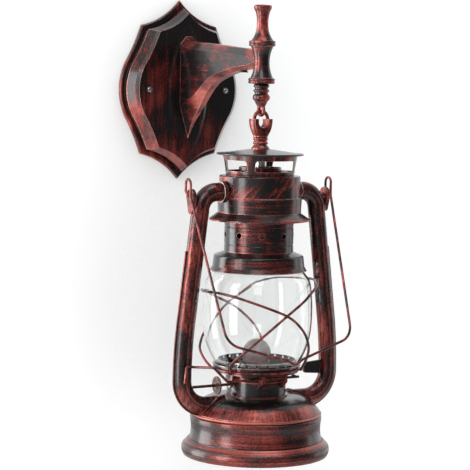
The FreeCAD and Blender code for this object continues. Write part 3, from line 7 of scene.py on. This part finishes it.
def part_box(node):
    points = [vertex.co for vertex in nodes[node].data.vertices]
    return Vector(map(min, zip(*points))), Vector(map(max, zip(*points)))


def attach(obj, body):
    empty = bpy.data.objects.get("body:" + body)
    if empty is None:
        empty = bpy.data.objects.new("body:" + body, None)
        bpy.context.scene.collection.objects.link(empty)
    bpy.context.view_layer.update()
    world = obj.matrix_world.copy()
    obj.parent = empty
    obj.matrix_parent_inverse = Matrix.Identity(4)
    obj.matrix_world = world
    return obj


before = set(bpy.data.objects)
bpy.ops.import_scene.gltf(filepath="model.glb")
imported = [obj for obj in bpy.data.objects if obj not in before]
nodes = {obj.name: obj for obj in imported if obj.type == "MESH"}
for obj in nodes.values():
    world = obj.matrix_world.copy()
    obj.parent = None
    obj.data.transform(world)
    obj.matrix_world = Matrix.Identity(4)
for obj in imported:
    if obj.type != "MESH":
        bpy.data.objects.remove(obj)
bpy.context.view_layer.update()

# Places read from the frame, in metres
FOOT_LOW, FOOT_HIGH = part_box("tank_base")
DOME_LOW, DOME_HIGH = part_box("tank_dome")
PERF_LOW, PERF_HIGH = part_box("perforated_drum")
CARRIER_LOW, CARRIER_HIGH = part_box("globe_plate")
BULB_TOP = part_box("lamp_bulb")[1][2]
FACE_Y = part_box("backplate")[0][1] + 0.0015
AXIS_Y = (PERF_LOW[1] + PERF_HIGH[1]) / 2
LANTERN = (0.0, AXIS_Y, 0.0)
PLAIN = (0.0, 0.0, 0.0)
UP = (0.0, 0.0, 1.0)
DOWN = (0.0, 0.0, -1.0)
BACKWARD = (0.0, 1.0, 0.0)
LOWER_LEFT = (-0.62, 0.0, -0.78)

# Linear colours of the finish, from unrubbed lacquer to the brightest rub, and where each one is reached;
# EDGE_PINK is the worn edge line, painted pale as a highlight
LACQUER = (0.0050, 0.0036, 0.0036)
DEEP_RED = (0.070, 0.0085, 0.0080)
COPPER_RED = (0.245, 0.038, 0.029)
BRIGHT_RED = (0.470, 0.125, 0.092)
EDGE_PINK = (0.760, 0.380, 0.330)
RUB_STOPS = ((0.0, LACQUER), (0.22, LACQUER), (0.42, DEEP_RED), (0.70, COPPER_RED), (1.0, BRIGHT_RED))
CHROME_STOPS = ((0.0, (0.05, 0.045, 0.045)), (0.5, (0.22, 0.19, 0.19)), (1.0, (0.62, 0.58, 0.57)))

# How the rub of copper red turns into colour, gloss and relief
RUB_NONE = -0.42
RUB_FULL = 0.72
CHROME_FULL = 0.75
METAL_DULL = 0.45
GRAIN_DULL = 0.72
HOLLOW_REACH = 0.004
# Painted shade in hollows: how much rub is taken away where ambient occlusion finds a corner, where the dry
# brush misses and shade falls
HOLLOW_SHADE_WEIGHT = -1.2
SPECK_WAVES = 850.0
EDGE_START = 0.025
EDGE_FULL = 0.24
# The pink line on worn edges: wear, and a painted highlight along the edge
WORN_HIGHLIGHT_START = 0.15
WORN_HIGHLIGHT_FULL = 1.3
WORN_HIGHLIGHT_COVER = 0.90
RUB_METAL = 0.78
LACQUER_ROUGH = 0.24
RUB_ROUGH = 0.12
SPECK_ROUGH = 0.03
COAT_WEIGHT = 0.30
COAT_ROUGH = 0.10
PAINT_IOR = 1.5
PAINT_RELIEF = 0.00006
STROKE_HEIGHT = 0.6
SPECK_HEIGHT = 0.25
LINE_END = 1.5
LINE_FULL = 0.6
NOISE_SPREAD = 4.0
EDGE_SAMPLES = 6
HOLLOW_SAMPLES = 6

# Waves a metre along each way of a brush: round, out and up on turned pieces, x, y and z elsewhere
ROUND = ((16.0, 0.0, 0.0), (0.0, 16.0, 0.0), (0.0, 0.0, 420.0))
SLANT = ((250.0, 0.0, -250.0), (0.0, 16.0, 0.0), (22.0, 0.0, 22.0))
RADIAL = ((640.0, 0.0, 0.0), (0.0, 60.0, 0.0), (0.0, 0.0, 60.0))
FINE_ROUND = ((14.0, 0.0, 0.0), (0.0, 14.0, 0.0), (0.0, 0.0, 640.0))
UPRIGHT = ((300.0, 0.0, 0.0), (0.0, 300.0, 0.0), (0.0, 0.0, 18.0))
FLECKS = ((380.0, 0.0, 0.0), (0.0, 380.0, 0.0), (0.0, 0.0, 70.0))
ALONG = ((150.0, 0.0, 0.0), (0.0, 18.0, 0.0), (0.0, 0.0, 260.0))
LOOSE = ((150.0, 0.0, 0.0), (0.0, 150.0, 0.0), (0.0, 0.0, 70.0))
GLASS_WAVES = ((14.0, 0.0, 0.0), (0.0, 14.0, 0.0), (0.0, 0.0, 34.0))
TURN_RADIUS = 0.040


class Graph:
    """A material's node tree with short calls for the nodes used here."""

    def __init__(self, name):
        self.material = bpy.data.materials.new(name)
        self.material.use_nodes = True
        self.tree = self.material.node_tree
        self.tree.nodes.clear()

    def put(self, socket, value):
        if isinstance(value, bpy.types.NodeSocket):
            self.tree.links.new(value, socket)
        elif hasattr(value, "__len__") and len(value) == 3 and socket.type == "RGBA":
            socket.default_value = (*value, 1.0)
        else:
            socket.default_value = value

    def node(self, kind, inputs=None, **settings):
        made = self.tree.nodes.new(kind)
        for key, value in settings.items():
            setattr(made, key, value)
        for key, value in (inputs or {}).items():
            self.put(made.inputs[key], value)
        return made

    def calc(self, operation, a, b=0.0, c=0.0):
        return self.node("ShaderNodeMath", {0: a, 1: b, 2: c}, operation=operation).outputs[0]

    def add(self, value, weight, total):
        """The total with the value added at a weight."""
        return self.calc("MULTIPLY_ADD", value, weight, total)

    def vector(self, operation, a, b=PLAIN):
        made = self.node("ShaderNodeVectorMath", {0: a, 1: b}, operation=operation)
        return made.outputs["Value" if operation in ("DOT_PRODUCT", "LENGTH") else "Vector"]

    def between(self, value, low, high, to_low=0.0, to_high=1.0):
        """A smooth step from one value to another."""
        inputs = {"Value": value, "From Min": low, "From Max": high, "To Min": to_low, "To Max": to_high}
        made = self.node("ShaderNodeMapRange", inputs, interpolation_type="SMOOTHSTEP")
        return made.outputs["Result"]

    def place(self, centre=PLAIN):
        return self.vector("SUBTRACT", self.node("ShaderNodeTexCoord").outputs["Object"], centre)

    def split(self, vector):
        return self.node("ShaderNodeSeparateXYZ", {"Vector": vector}).outputs

    def turned(self, place):
        """Place on a turned piece: way round from the front, way out and height."""
        x, y, z = self.split(place)
        turn = self.calc("ARCTAN2", x, self.calc("MULTIPLY", y, -1.0))
        out = self.vector("LENGTH", self.vector("MULTIPLY", place, (1.0, 1.0, 0.0)))
        arc = self.calc("MULTIPLY", turn, TURN_RADIUS)
        return self.node("ShaderNodeCombineXYZ", {"X": arc, "Y": out, "Z": z}).outputs["Vector"]

    def brushed(self, place, rows):
        """The place measured in waves along each way of a brush."""
        parts = {axis: self.vector("DOT_PRODUCT", place, row) for axis, row in zip("XYZ", rows)}
        return self.node("ShaderNodeCombineXYZ", parts).outputs["Vector"]

    def noise(self, place, scale=1.0, detail=3.0, rough=0.55, shift=0.0, warp=0.0):
        """Noise from about -1 to 1; scale is in waves a metre."""
        moved = self.vector("ADD", place, (shift, shift * 0.7, shift * 0.4))
        inputs = {"Vector": moved, "Scale": scale, "Detail": detail, "Roughness": rough, "Distortion": warp}
        fac = self.node("ShaderNodeTexNoise", inputs).outputs["Fac"]
        return self.calc("MULTIPLY_ADD", fac, NOISE_SPREAD, -NOISE_SPREAD / 2)

    def ramp(self, value, stops):
        """Colour along a value, from (place, colour) stops."""
        made = self.node("ShaderNodeValToRGB", {"Fac": value})
        ramp = made.color_ramp
        while len(ramp.elements) < len(stops):
            ramp.elements.new(0.5)
        for element, (at, colour) in zip(ramp.elements, stops):
            element.position = at
            element.color = (*colour, 1.0)
        return made.outputs["Color"]

    def mix(self, share, a, b):
        made = self.node("ShaderNodeMix", data_type="RGBA")
        self.put(made.inputs["Factor"], share)
        self.put(made.inputs["A"], a)
        self.put(made.inputs["B"], b)
        return made.outputs["Result"]

    def edges(self, radius):
        """1 along sharp edges, 0 on open faces."""
        soft = self.node("ShaderNodeBevel", {"Radius": radius}, samples=EDGE_SAMPLES).outputs["Normal"]
        plain = self.node("ShaderNodeNewGeometry").outputs["Normal"]
        apart = self.calc("SUBTRACT", 1.0, self.vector("DOT_PRODUCT", soft, plain))
        return self.between(apart, EDGE_START, EDGE_FULL)

    def hollow(self, distance):
        """1 in tight corners and hollows, 0 in the open."""
        inputs = {"Distance": distance}
        made = self.node("ShaderNodeAmbientOcclusion", inputs, samples=HOLLOW_SAMPLES, only_local=True)
        return self.calc("SUBTRACT", 1.0, made.outputs["AO"])

    def bump(self, height, distance, strength=1.0):
        inputs = {"Height": height, "Distance": distance, "Strength": strength}
        return self.node("ShaderNodeBump", inputs).outputs["Normal"]

    def finish(self, **inputs):
        """The surface shader, with its sockets by name."""
        sockets = {key.replace("_", " "): value for key, value in inputs.items()}
        shader = self.node("ShaderNodeBsdfPrincipled", sockets)
        self.node("ShaderNodeOutputMaterial", {"Surface": shader.outputs["BSDF"]})
        return self.material


def paint(name, brush, seed, bias=0.0, centre=PLAIN, turned=False, patch=45.0, patches=0.30,
          strokes=0.42, specks=0.20, edge=0.9, edge_radius=0.0009, light_bands=(), fades=(), slopes=()):
    """Black lacquer dry-brushed with copper red: patches, strokes, flecks, worn edges with a painted pink
    highlight, and hollows kept black where the brush misses, as painted shade.

    The height bands are (height, half width, weight), painted shade where dark and painted highlights where
    bright; fades are (direction, start, end, weight) along the place, and slopes the same along the way the
    surface faces.
    """
    g = Graph(name)
    place = g.place(centre)
    strokes_at = g.brushed(g.turned(place) if turned else place, brush)
    broad = g.noise(place, patch, detail=2.0, rough=0.5, shift=seed, warp=0.4)
    fine = g.noise(strokes_at, detail=4.0, rough=0.68, shift=seed + 3.0, warp=0.2)
    dots = g.noise(place, SPECK_WAVES, detail=2.0, rough=0.6, shift=seed)
    worn = g.edges(edge_radius)
    # Painted shade: tight corners and hollows, found by ambient occlusion, are kept black where the dry
    # brush misses
    unbrushed_and_shaded = g.hollow(HOLLOW_REACH)
    rub = g.add(broad, patches, bias)
    rub = g.add(fine, strokes, rub)
    rub = g.add(dots, specks, rub)
    rub = g.add(worn, edge, rub)
    rub = g.add(unbrushed_and_shaded, HOLLOW_SHADE_WEIGHT, rub)
    # Painted light: bands round the height, dark for painted shade and bright for painted highlights
    for height, half, weight in light_bands:
        away = g.calc("ABSOLUTE", g.calc("SUBTRACT", g.split(place)[2], height))
        rub = g.add(g.between(away, half * LINE_END, half * LINE_FULL), weight, rub)
    for direction, start, end, weight in fades:
        along = g.vector("DOT_PRODUCT", place, direction)
        rub = g.add(g.between(along, start, end), weight, rub)
    facing = g.node("ShaderNodeTexCoord").outputs["Normal"]
    for direction, start, end, weight in slopes:
        along = g.vector("DOT_PRODUCT", facing, direction)
        rub = g.add(g.between(along, start, end), weight, rub)
    share = g.between(rub, RUB_NONE, RUB_FULL)
    # Worn edges get a pale pink line: wear, and a painted highlight along the edge
    edge_wear_and_highlight = g.calc("MULTIPLY", worn, g.between(rub, WORN_HIGHLIGHT_START, WORN_HIGHLIGHT_FULL))
    colour = g.mix(g.calc("MULTIPLY", edge_wear_and_highlight, WORN_HIGHLIGHT_COVER), g.ramp(share, RUB_STOPS), EDGE_PINK)
    rough = g.add(share, RUB_ROUGH, g.add(dots, SPECK_ROUGH, LACQUER_ROUGH))
    height = g.add(fine, STROKE_HEIGHT, g.calc("MULTIPLY", dots, SPECK_HEIGHT))
    return g.finish(Base_Color=colour, Roughness=rough, Metallic=g.calc("MULTIPLY", share, RUB_METAL),
                    IOR=PAINT_IOR, Coat_Weight=COAT_WEIGHT, Coat_Roughness=COAT_ROUGH,
                    Coat_IOR=PAINT_IOR, Normal=g.bump(height, PAINT_RELIEF, 0.8))


def plain_metal(name, colour, rough, brush, seed, dirt=0.35):
    """Bare metal with fine scratches and dull patches."""
    g = Graph(name)
    place = g.place(LANTERN)
    scratches = g.noise(g.brushed(place, brush), detail=5.0, rough=0.7, shift=seed)
    clouds = g.noise(place, 70.0, detail=3.0, shift=seed)
    dark = tuple(c * METAL_DULL for c in colour)
    share = g.between(g.calc("ADD", scratches, clouds), -0.7, 0.9)
    tone = g.mix(g.calc("MULTIPLY", share, dirt), colour, dark)
    return g.finish(Base_Color=tone, Metallic=1.0, Roughness=g.add(clouds, 0.05, rough),
                    Normal=g.bump(scratches, 0.00002, 0.5))


def moulded(name, colour, rough, grain, depth, **more):
    """Porcelain, plastic or rubber: one tone with a soft grain."""
    g = Graph(name)
    place = g.place()
    clouds = g.noise(place, 60.0, detail=3.0)
    fine = g.noise(place, grain, detail=2.0)
    dark = tuple(c * GRAIN_DULL for c in colour)
    tone = g.mix(g.between(clouds, -0.6, 0.8), colour, dark)
    return g.finish(Base_Color=tone, Roughness=g.add(fine, 0.04, rough),
                    Normal=g.bump(fine, depth, 0.6), **more)


def clear_glass():
    """The blown globe: clear, with slow waves."""
    g = Graph("clear_glass")
    waves = g.noise(g.brushed(g.place(LANTERN), GLASS_WAVES), detail=1.5)
    return g.finish(Base_Color=(0.955, 0.965, 0.960), Roughness=0.0, IOR=1.45,
                    Transmission_Weight=1.0, Normal=g.bump(waves, 0.00015, 0.35))


def frosted_glass():
    """The lamp: frosted, reddish below with a painted reflection of the red burner around it, and paler at
    its crown.
    """
    g = Graph("frosted_glass")
    place = g.place(LANTERN)
    fine = g.noise(place, 1400.0, detail=2.0)
    clouds = g.noise(place, 90.0, detail=2.0)
    crown_depth = 0.0150
    crown = g.between(g.split(place)[2], BULB_TOP - crown_depth, BULB_TOP)
    # Painted reflection: the red of the burner and sleeve, in the lamp's lower part
    reflected_red = g.mix(g.between(clouds, -0.8, 0.8), (0.20, 0.085, 0.080), (0.30, 0.17, 0.165))
    tone = g.mix(crown, reflected_red, (0.62, 0.60, 0.59))
    return g.finish(Base_Color=tone, Roughness=g.add(fine, 0.03, 0.22), IOR=1.5,
                    Transmission_Weight=0.45, Normal=g.bump(fine, 0.00002, 0.5))


def carrier_metal():
    """The globe plate: dark bright-worn gallery above, lacquered band below."""
    g = Graph("carrier_metal")
    place = g.place(LANTERN)
    rim_share = 0.76
    rim = CARRIER_LOW[2] + (CARRIER_HIGH[2] - CARRIER_LOW[2]) * rim_share
    rim_blend = 0.0006
    above = g.between(g.split(place)[2], rim - rim_blend, rim + rim_blend)
    fine = g.noise(g.brushed(g.turned(place), ROUND), detail=4.0, rough=0.68, shift=5.2)
    broad = g.noise(place, 60.0, detail=2.0, shift=2.2)
    worn = g.edges(0.0008)
    rub = g.add(fine, 0.40, g.add(broad, 0.30, g.calc("MULTIPLY", worn, 0.9)))
    share = g.between(rub, RUB_NONE, CHROME_FULL)
    tone = g.mix(above, g.ramp(share, RUB_STOPS), g.ramp(share, CHROME_STOPS))
    return g.finish(Base_Color=tone, Roughness=g.add(broad, 0.03, 0.20), Metallic=g.add(above, 0.45, 0.5),
                    IOR=1.6, Coat_Weight=COAT_WEIGHT, Coat_Roughness=COAT_ROUGH)


def up_dome(share):
    return DOME_LOW[2] + (DOME_HIGH[2] - DOME_LOW[2]) * share


def up_foot(share):
    return FOOT_LOW[2] + (FOOT_HIGH[2] - FOOT_LOW[2]) * share


plate_fades = ((LOWER_LEFT, -0.020, 0.070, 0.22), (BACKWARD, FACE_Y, FACE_Y + 0.004, 0.06))
arm_slopes = ((DOWN, 0.20, 0.50, 0.34), (UP, 0.30, 0.60, 0.20))
# Dome: a painted dark reflection close under its top, and a painted highlight on the bead at its foot
dome_shade_and_highlight = ((up_dome(0.90), 0.0034, -0.85), (DOME_LOW[2] + 0.0012, 0.0011, 0.5))
# Base: a painted highlight on the skirt's ridge
base_ridge_highlight = ((up_foot(0.36), 0.0014, 0.3),)
on_lantern = {"centre": LANTERN, "turned": True}
finishes = {
    "plate": paint("plate_paint", UPRIGHT, 1.3, bias=-0.12, patch=30.0, patches=0.28, strokes=0.26,
                   edge=1.6, specks=0.14, edge_radius=0.0012, fades=plate_fades),
    "arm": paint("arm_paint", ALONG, 4.1, bias=-0.08, patch=42.0, patches=0.34, strokes=0.30,
                 edge=1.1, edge_radius=0.0022, slopes=arm_slopes),
    "column": paint("column_paint", LOOSE, 7.7, bias=0.22, patch=75.0, patches=0.40),
    "hooks": paint("hook_paint", LOOSE, 2.9, bias=0.20, patch=90.0, patches=0.40, strokes=0.30,
                   edge=0.6),
    "cap": paint("cap_paint", RADIAL, 5.5, bias=-0.26, patch=40.0, edge=1.5, **on_lantern),
    "cage": paint("cage_paint", UPRIGHT, 6.1, patch=70.0, centre=LANTERN),
    "drum": paint("drum_paint", SLANT, 5.9, bias=0.03, patch=36.0, patches=0.44, edge=1.1,
                  **on_lantern),
    "low_drum": paint("low_drum_paint", ROUND, 8.9, bias=-0.06, patch=50.0, edge=1.1, **on_lantern),
    "perf": paint("perf_paint", ROUND, 9.2, bias=-0.08, patch=46.0, patches=0.42, **on_lantern),
    "collar": paint("collar_paint", ROUND, 3.6, bias=-0.03, patch=30.0, edge=1.2, **on_lantern),
    "tube": paint("tube_paint", FLECKS, 11.0, bias=0.10, patch=26.0, patches=0.34, strokes=0.40,
                  specks=0.24, centre=LANTERN, edge=1.0),
    "dome": paint("dome_paint", RADIAL, 12.5, bias=0.28, patch=34.0, patches=0.40, strokes=0.34,
                  edge=1.0, light_bands=dome_shade_and_highlight, **on_lantern),
    "base": paint("base_paint", FINE_ROUND, 13.3, bias=0.05, patch=24.0, patches=0.28,
                  light_bands=base_ridge_highlight, **on_lantern),
    "neck": paint("neck_paint", ROUND, 18.2, bias=-0.05, patch=40.0, patches=0.45, **on_lantern),
    "wire": paint("wire_paint", LOOSE, 14.8, bias=0.14, patch=90.0, edge=0.2),
    "sleeve": paint("sleeve_paint", ROUND, 15.9, bias=0.12, patch=50.0, **on_lantern),
    "carrier": carrier_metal(),
    "tinned": plain_metal("tinned_sheet", (0.62, 0.61, 0.60), 0.18, ROUND, 1.0),
    "solder": plain_metal("solder", (0.60, 0.52, 0.51), 0.24, LOOSE, 6.0, dirt=0.8),
    "screw": plain_metal("screw_steel", (0.55, 0.54, 0.53), 0.25, LOOSE, 2.0),
    "nickel": plain_metal("nickel", (0.60, 0.57, 0.52), 0.20, ROUND, 3.0, dirt=0.2),
    "brass": plain_metal("contact_brass", (0.70, 0.48, 0.20), 0.25, LOOSE, 4.0),
    "porcelain": moulded("porcelain", (0.78, 0.76, 0.71), 0.12, 200.0, 0.00003, Coat_Weight=0.4),
    "plastic": moulded("block_plastic", (0.62, 0.61, 0.57), 0.40, 900.0, 0.00006),
    "rubber": moulded("bush_rubber", (0.025, 0.024, 0.023), 0.60, 1200.0, 0.00008),
    "glass": clear_glass(),
    "frost": frosted_glass(),
}
nodes_with = {
    "plate": ("backplate",),
    "arm": ("arm",),
    "column": ("finial",),
    "hooks": ("upper_hook", "lower_hook"),
    "cap": ("cap", "guide_tab", "wick_wheel"),
    "cage": ("vent_cage", "flue"),
    "drum": ("upper_drum",),
    "low_drum": ("lower_drum",),
    "perf": ("perforated_drum",),
    "collar": ("brim", "globe_collar"),
    "tube": ("side_tube_left", "side_tube_right", "drum_socket_left", "drum_socket_right",
             "tank_socket_left", "tank_socket_right", "ear_left", "ear_right"),
    "dome": ("tank_dome",),
    "base": ("tank_base", "tank_floor"),
    "neck": ("burner_neck",),
    "wire": ("neck_lugs", "guard_ring", "guard_hoop_left", "guard_hoop_right", "bail",
             "lift_lever", "wick_spindle"),
    "sleeve": ("holder_cover",),
    "carrier": ("globe_plate",),
    "tinned": ("centre_tube", "bridge"),
    "screw": ("wall_bar", "plate_screws", "arm_screws", "tie_rod", "hook_nut"),
    "nickel": ("wick_bush", "lamp_cap"),
    "brass": ("earth_screw", "holder_contact", "nipple", "nipple_nut"),
    "porcelain": ("lampholder",),
    "plastic": ("terminal_block",),
    "rubber": ("arm_bush", "inlet_bush"),
    "glass": ("globe",),
    "frost": ("lamp_bulb",),
}
finish_of = {node_name: kind for kind, names in nodes_with.items() for node_name in names}
for node_name, node in nodes.items():
    node.data.materials.clear()
    node.data.materials.append(finishes[finish_of[node_name]])


def add_object(name, mesh, material):
    made = bpy.data.objects.new(name, mesh)
    bpy.context.scene.collection.objects.link(made)
    made.data.materials.append(material)
    return made


def quad(name, corners, material):
    mesh = bpy.data.meshes.new(name)
    mesh.from_pydata(corners, [], [(0, 1, 2, 3)])
    return add_object(name, mesh, material)


# Solder left round the side tubes where they enter the drums
BEAD_R = 0.0006
BEAD_SINK = BEAD_R * 1.6
BEAD_STEPS = 72
BEAD_SIDES = 8
BEAD_LUMPS = 260.0
BEAD_UNEVEN = 0.45


def solder_bead(name, centre, axis, radius):
    """An uneven ring of solder round a tube, on a circle square to the axis."""
    axis = Vector(axis).normalized()
    side = axis.orthogonal().normalized()
    other = axis.cross(side)
    points = []
    for step in range(BEAD_STEPS):
        turn = 2 * math.pi * step / BEAD_STEPS
        out = math.cos(turn) * side + math.sin(turn) * other
        middle = Vector(centre) + out * radius
        lump = BEAD_R * (1.0 + BEAD_UNEVEN * noise.noise(middle * BEAD_LUMPS))
        for corner in range(BEAD_SIDES):
            roll = 2 * math.pi * corner / BEAD_SIDES
            points.append(middle + lump * (math.cos(roll) * out + math.sin(roll) * axis))
    faces = []
    for step in range(BEAD_STEPS):
        here = step * BEAD_SIDES
        after = (step + 1) % BEAD_STEPS * BEAD_SIDES
        for corner in range(BEAD_SIDES):
            beside = (corner + 1) % BEAD_SIDES
            faces.append((here + corner, after + corner, after + beside, here + beside))
    mesh = bpy.data.meshes.new(name)
    mesh.from_pydata(points, [], faces)
    mesh.shade_smooth()
    made = add_object(name, mesh, finishes["solder"])
    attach(made, "lantern")


for hand, sign in (("left", -1), ("right", 1)):
    socket_low, socket_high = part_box("drum_socket_" + hand)
    end_x = socket_low[0] if sign < 0 else socket_high[0]
    height = (socket_low[2] + socket_high[2]) / 2
    bead_radius = (socket_high[2] - socket_low[2]) / 2 - BEAD_SINK
    solder_bead("drum_solder_" + hand, (end_x, AXIS_Y, height), (1, 0, 0), bead_radius)


# The wall behind the plate and the floor below the lantern
WALL_GAP = 0.0006
WALL_HALF = 1.6
WALL_TONE = (0.50, 0.51, 0.505)
WALL_GLOW = 0.66
WALL_SHADE = 0.36
SHADE_REACH = 0.30
SHADE_DEEP = 0.55
FLOOR_DROP = 0.32
FLOOR_Z = FOOT_LOW[2] - FLOOR_DROP
FLOOR_TONE = (0.80, 0.80, 0.79)
FLOOR_GLOW = 0.35
WHITE = (1.0, 1.0, 1.0)


def wall_material():
    """Pale wall: seen white, keeps the lamps' soft shadow and a painted shadow where its glow is dimmed
    close to the object, open when looked through from behind.
    """
    g = Graph("wall_plain")
    matte = g.node("ShaderNodeBsdfDiffuse", {"Color": WALL_TONE})
    # Painted shadow: the glow is dimmed where ambient occlusion finds the object close to the wall
    painted_shadow_ao = g.node("ShaderNodeAmbientOcclusion", {"Distance": SHADE_REACH}, samples=8).outputs["AO"]
    strength = g.between(painted_shadow_ao, SHADE_DEEP, 1.0, WALL_SHADE, WALL_GLOW)
    glow = g.node("ShaderNodeEmission", {"Color": WHITE, "Strength": strength})
    front = g.node("ShaderNodeAddShader", {0: matte.outputs[0], 1: glow.outputs[0]})
    clear = g.node("ShaderNodeBsdfTransparent")
    back = g.node("ShaderNodeNewGeometry").outputs["Backfacing"]
    both = g.node("ShaderNodeMixShader", {0: back, 1: front.outputs[0], 2: clear.outputs[0]})
    g.node("ShaderNodeOutputMaterial", {"Surface": both.outputs[0]})
    return g.material


def floor_material():
    """Pale floor: matte, and a little brighter where it is looked at."""
    g = Graph("floor_plain")
    matte = g.node("ShaderNodeBsdfDiffuse", {"Color": FLOOR_TONE})
    glow = g.node("ShaderNodeEmission", {"Color": WHITE, "Strength": FLOOR_GLOW})
    path = g.node("ShaderNodeLightPath")
    seen = g.calc("MAXIMUM", path.outputs["Is Camera Ray"], path.outputs["Is Transmission Ray"])
    lit = g.node("ShaderNodeAddShader", {0: matte.outputs[0], 1: glow.outputs[0]})
    both = g.node("ShaderNodeMixShader", {0: seen, 1: matte.outputs[0], 2: lit.outputs[0]})
    g.node("ShaderNodeOutputMaterial", {"Surface": both.outputs[0]})
    return g.material


wall_corners = [(-WALL_HALF, WALL_GAP, FLOOR_Z), (WALL_HALF, WALL_GAP, FLOOR_Z),
                (WALL_HALF, WALL_GAP, WALL_HALF), (-WALL_HALF, WALL_GAP, WALL_HALF)]
wall = quad("backdrop", wall_corners, wall_material())
wall.visible_shadow = False
wall.visible_diffuse = False
wall.visible_glossy = False
floor_corners = [(-WALL_HALF, -WALL_HALF, FLOOR_Z), (WALL_HALF, -WALL_HALF, FLOOR_Z),
                 (WALL_HALF, WALL_HALF, FLOOR_Z), (-WALL_HALF, WALL_HALF, FLOOR_Z)]
floor = quad("floor", floor_corners, floor_material())

# The studio: an even fill, and what the gloss mirrors from the left, from above and from the wall
FILL = 0.36
GLOSS_DARK = 0.13
GLOSS_LEFT = 0.40
GLOSS_TOP = 0.30
GLOSS_BACK = 0.85
STUDIO_TINT = (0.97, 0.985, 1.0, 1.0)
FROM_LEFT = (-0.95, -0.20, 0.24)
FROM_ABOVE = (-0.20, -0.25, 0.95)


def studio_world():
    """Even grey fill; in gloss brighter from the left and above; white where it is looked at."""
    world = bpy.data.worlds.new("studio")
    bpy.context.scene.world = world
    world.use_nodes = True
    tree = world.node_tree
    tree.nodes.clear()

    def put(kind, inputs, **settings):
        made = tree.nodes.new(kind)
        for key, value in settings.items():
            setattr(made, key, value)
        for key, value in inputs.items():
            if isinstance(value, bpy.types.NodeSocket):
                tree.links.new(value, made.inputs[key])
            else:
                made.inputs[key].default_value = value
        return made

    def calc(operation, a, b):
        return put("ShaderNodeMath", {0: a, 1: b}, operation=operation).outputs[0]

    def side(direction, low, high, weight):
        inputs = {0: towards, 1: direction}
        way = put("ShaderNodeVectorMath", inputs, operation="DOT_PRODUCT").outputs["Value"]
        inputs = {"Value": way, "From Min": low, "From Max": high, "To Max": weight}
        made = put("ShaderNodeMapRange", inputs, interpolation_type="SMOOTHSTEP")
        return made.outputs["Result"]

    towards = put("ShaderNodeTexCoord", {}).outputs["Generated"]
    path = put("ShaderNodeLightPath", {}).outputs
    left = side(FROM_LEFT, 0.35, 0.95, GLOSS_LEFT)
    top = side(FROM_ABOVE, 0.55, 1.0, GLOSS_TOP)
    back = side(BACKWARD, -0.02, 0.10, GLOSS_BACK)
    most = calc("MAXIMUM", calc("ADD", left, top), back)
    bright = calc("ADD", most, GLOSS_DARK)
    fill = put("ShaderNodeBackground", {"Color": STUDIO_TINT, "Strength": FILL})
    shine = put("ShaderNodeBackground", {"Color": STUDIO_TINT, "Strength": bright})
    white = put("ShaderNodeBackground", {"Color": (*WHITE, 1.0), "Strength": 1.0})
    seen = calc("MAXIMUM", path["Is Camera Ray"], path["Is Transmission Ray"])
    shaders = {0: path["Is Glossy Ray"], 1: fill.outputs[0], 2: shine.outputs[0]}
    unseen = put("ShaderNodeMixShader", shaders)
    whole = put("ShaderNodeMixShader", {0: seen, 1: unseen.outputs[0], 2: white.outputs[0]})
    put("ShaderNodeOutputWorld", {"Surface": whole.outputs[0]})


studio_world()

# Lamps: name, place, width, height, watts and whether the gloss shows them
AIM = Vector((0.0, AXIS_Y, -0.12))
LAMPS = (
    ("left_box", (-1.05, -0.30, -0.02), 0.34, 1.10, 7.0, True),
    ("rim_box", (-0.75, 0.42, -0.02), 0.50, 1.10, 9.0, True),
    ("key_box", (-0.75, -1.25, 1.05), 0.80, 0.80, 6.5, True),
    ("fill_box", (-0.80, -1.50, 0.25), 0.50, 0.50, 4.0, False),
    ("right_box", (1.10, -0.35, 0.05), 0.30, 1.10, 1.4, True),
    ("top_box", (0.10, -0.45, 1.15), 0.70, 0.50, 3.0, True),
)


def softbox(name, place, wide, high, watts, shine):
    """A rectangular lamp that faces the lantern."""
    lamp = bpy.data.lights.new(name, "AREA")
    lamp.shape = "RECTANGLE"
    lamp.size = wide
    lamp.size_y = high
    lamp.energy = watts
    made = bpy.data.objects.new(name, lamp)
    made.location = place
    made.rotation_euler = (AIM - Vector(place)).to_track_quat("-Z", "Y").to_euler()
    made.visible_camera = False
    made.visible_glossy = shine
    bpy.context.scene.collection.objects.link(made)


for lamp_values in LAMPS:
    softbox(*lamp_values)

# Camera: the photograph's own angle
AZIMUTH = math.radians(-30.0)
ELEVATION = 0.085
ROLL = 0.017
FOCAL_PIXELS = 1800.0
FRAME_PIXELS = 470.0
SENSOR_WIDTH = 36.0
SIGHT_END = 20.0
EYE = Vector((-0.776855, -1.455592, 0.008434))


def photo_camera():
    """A camera at the eye, turned by azimuth, elevation and roll."""
    camera = bpy.data.cameras.new("photo_camera")
    camera.sensor_width = SENSOR_WIDTH
    camera.sensor_fit = "HORIZONTAL"
    camera.lens = camera.sensor_width * FOCAL_PIXELS / FRAME_PIXELS
    camera.clip_end = SIGHT_END
    back = Vector((math.sin(AZIMUTH) * math.cos(ELEVATION), -math.cos(AZIMUTH) * math.cos(ELEVATION),
                   math.sin(ELEVATION)))
    right = Vector((math.cos(AZIMUTH), math.sin(AZIMUTH), 0.0))
    up = back.cross(right)
    turned_right = math.cos(ROLL) * right + math.sin(ROLL) * up
    turned_up = -math.sin(ROLL) * right + math.cos(ROLL) * up
    made = bpy.data.objects.new("photo_camera", camera)
    axes = Matrix((turned_right, turned_up, back)).transposed()
    made.matrix_world = Matrix.Translation(EYE) @ axes.to_4x4()
    bpy.context.scene.collection.objects.link(made)
    bpy.context.scene.camera = made


photo_camera()
bpy.context.scene.view_settings.view_transform = "Standard"
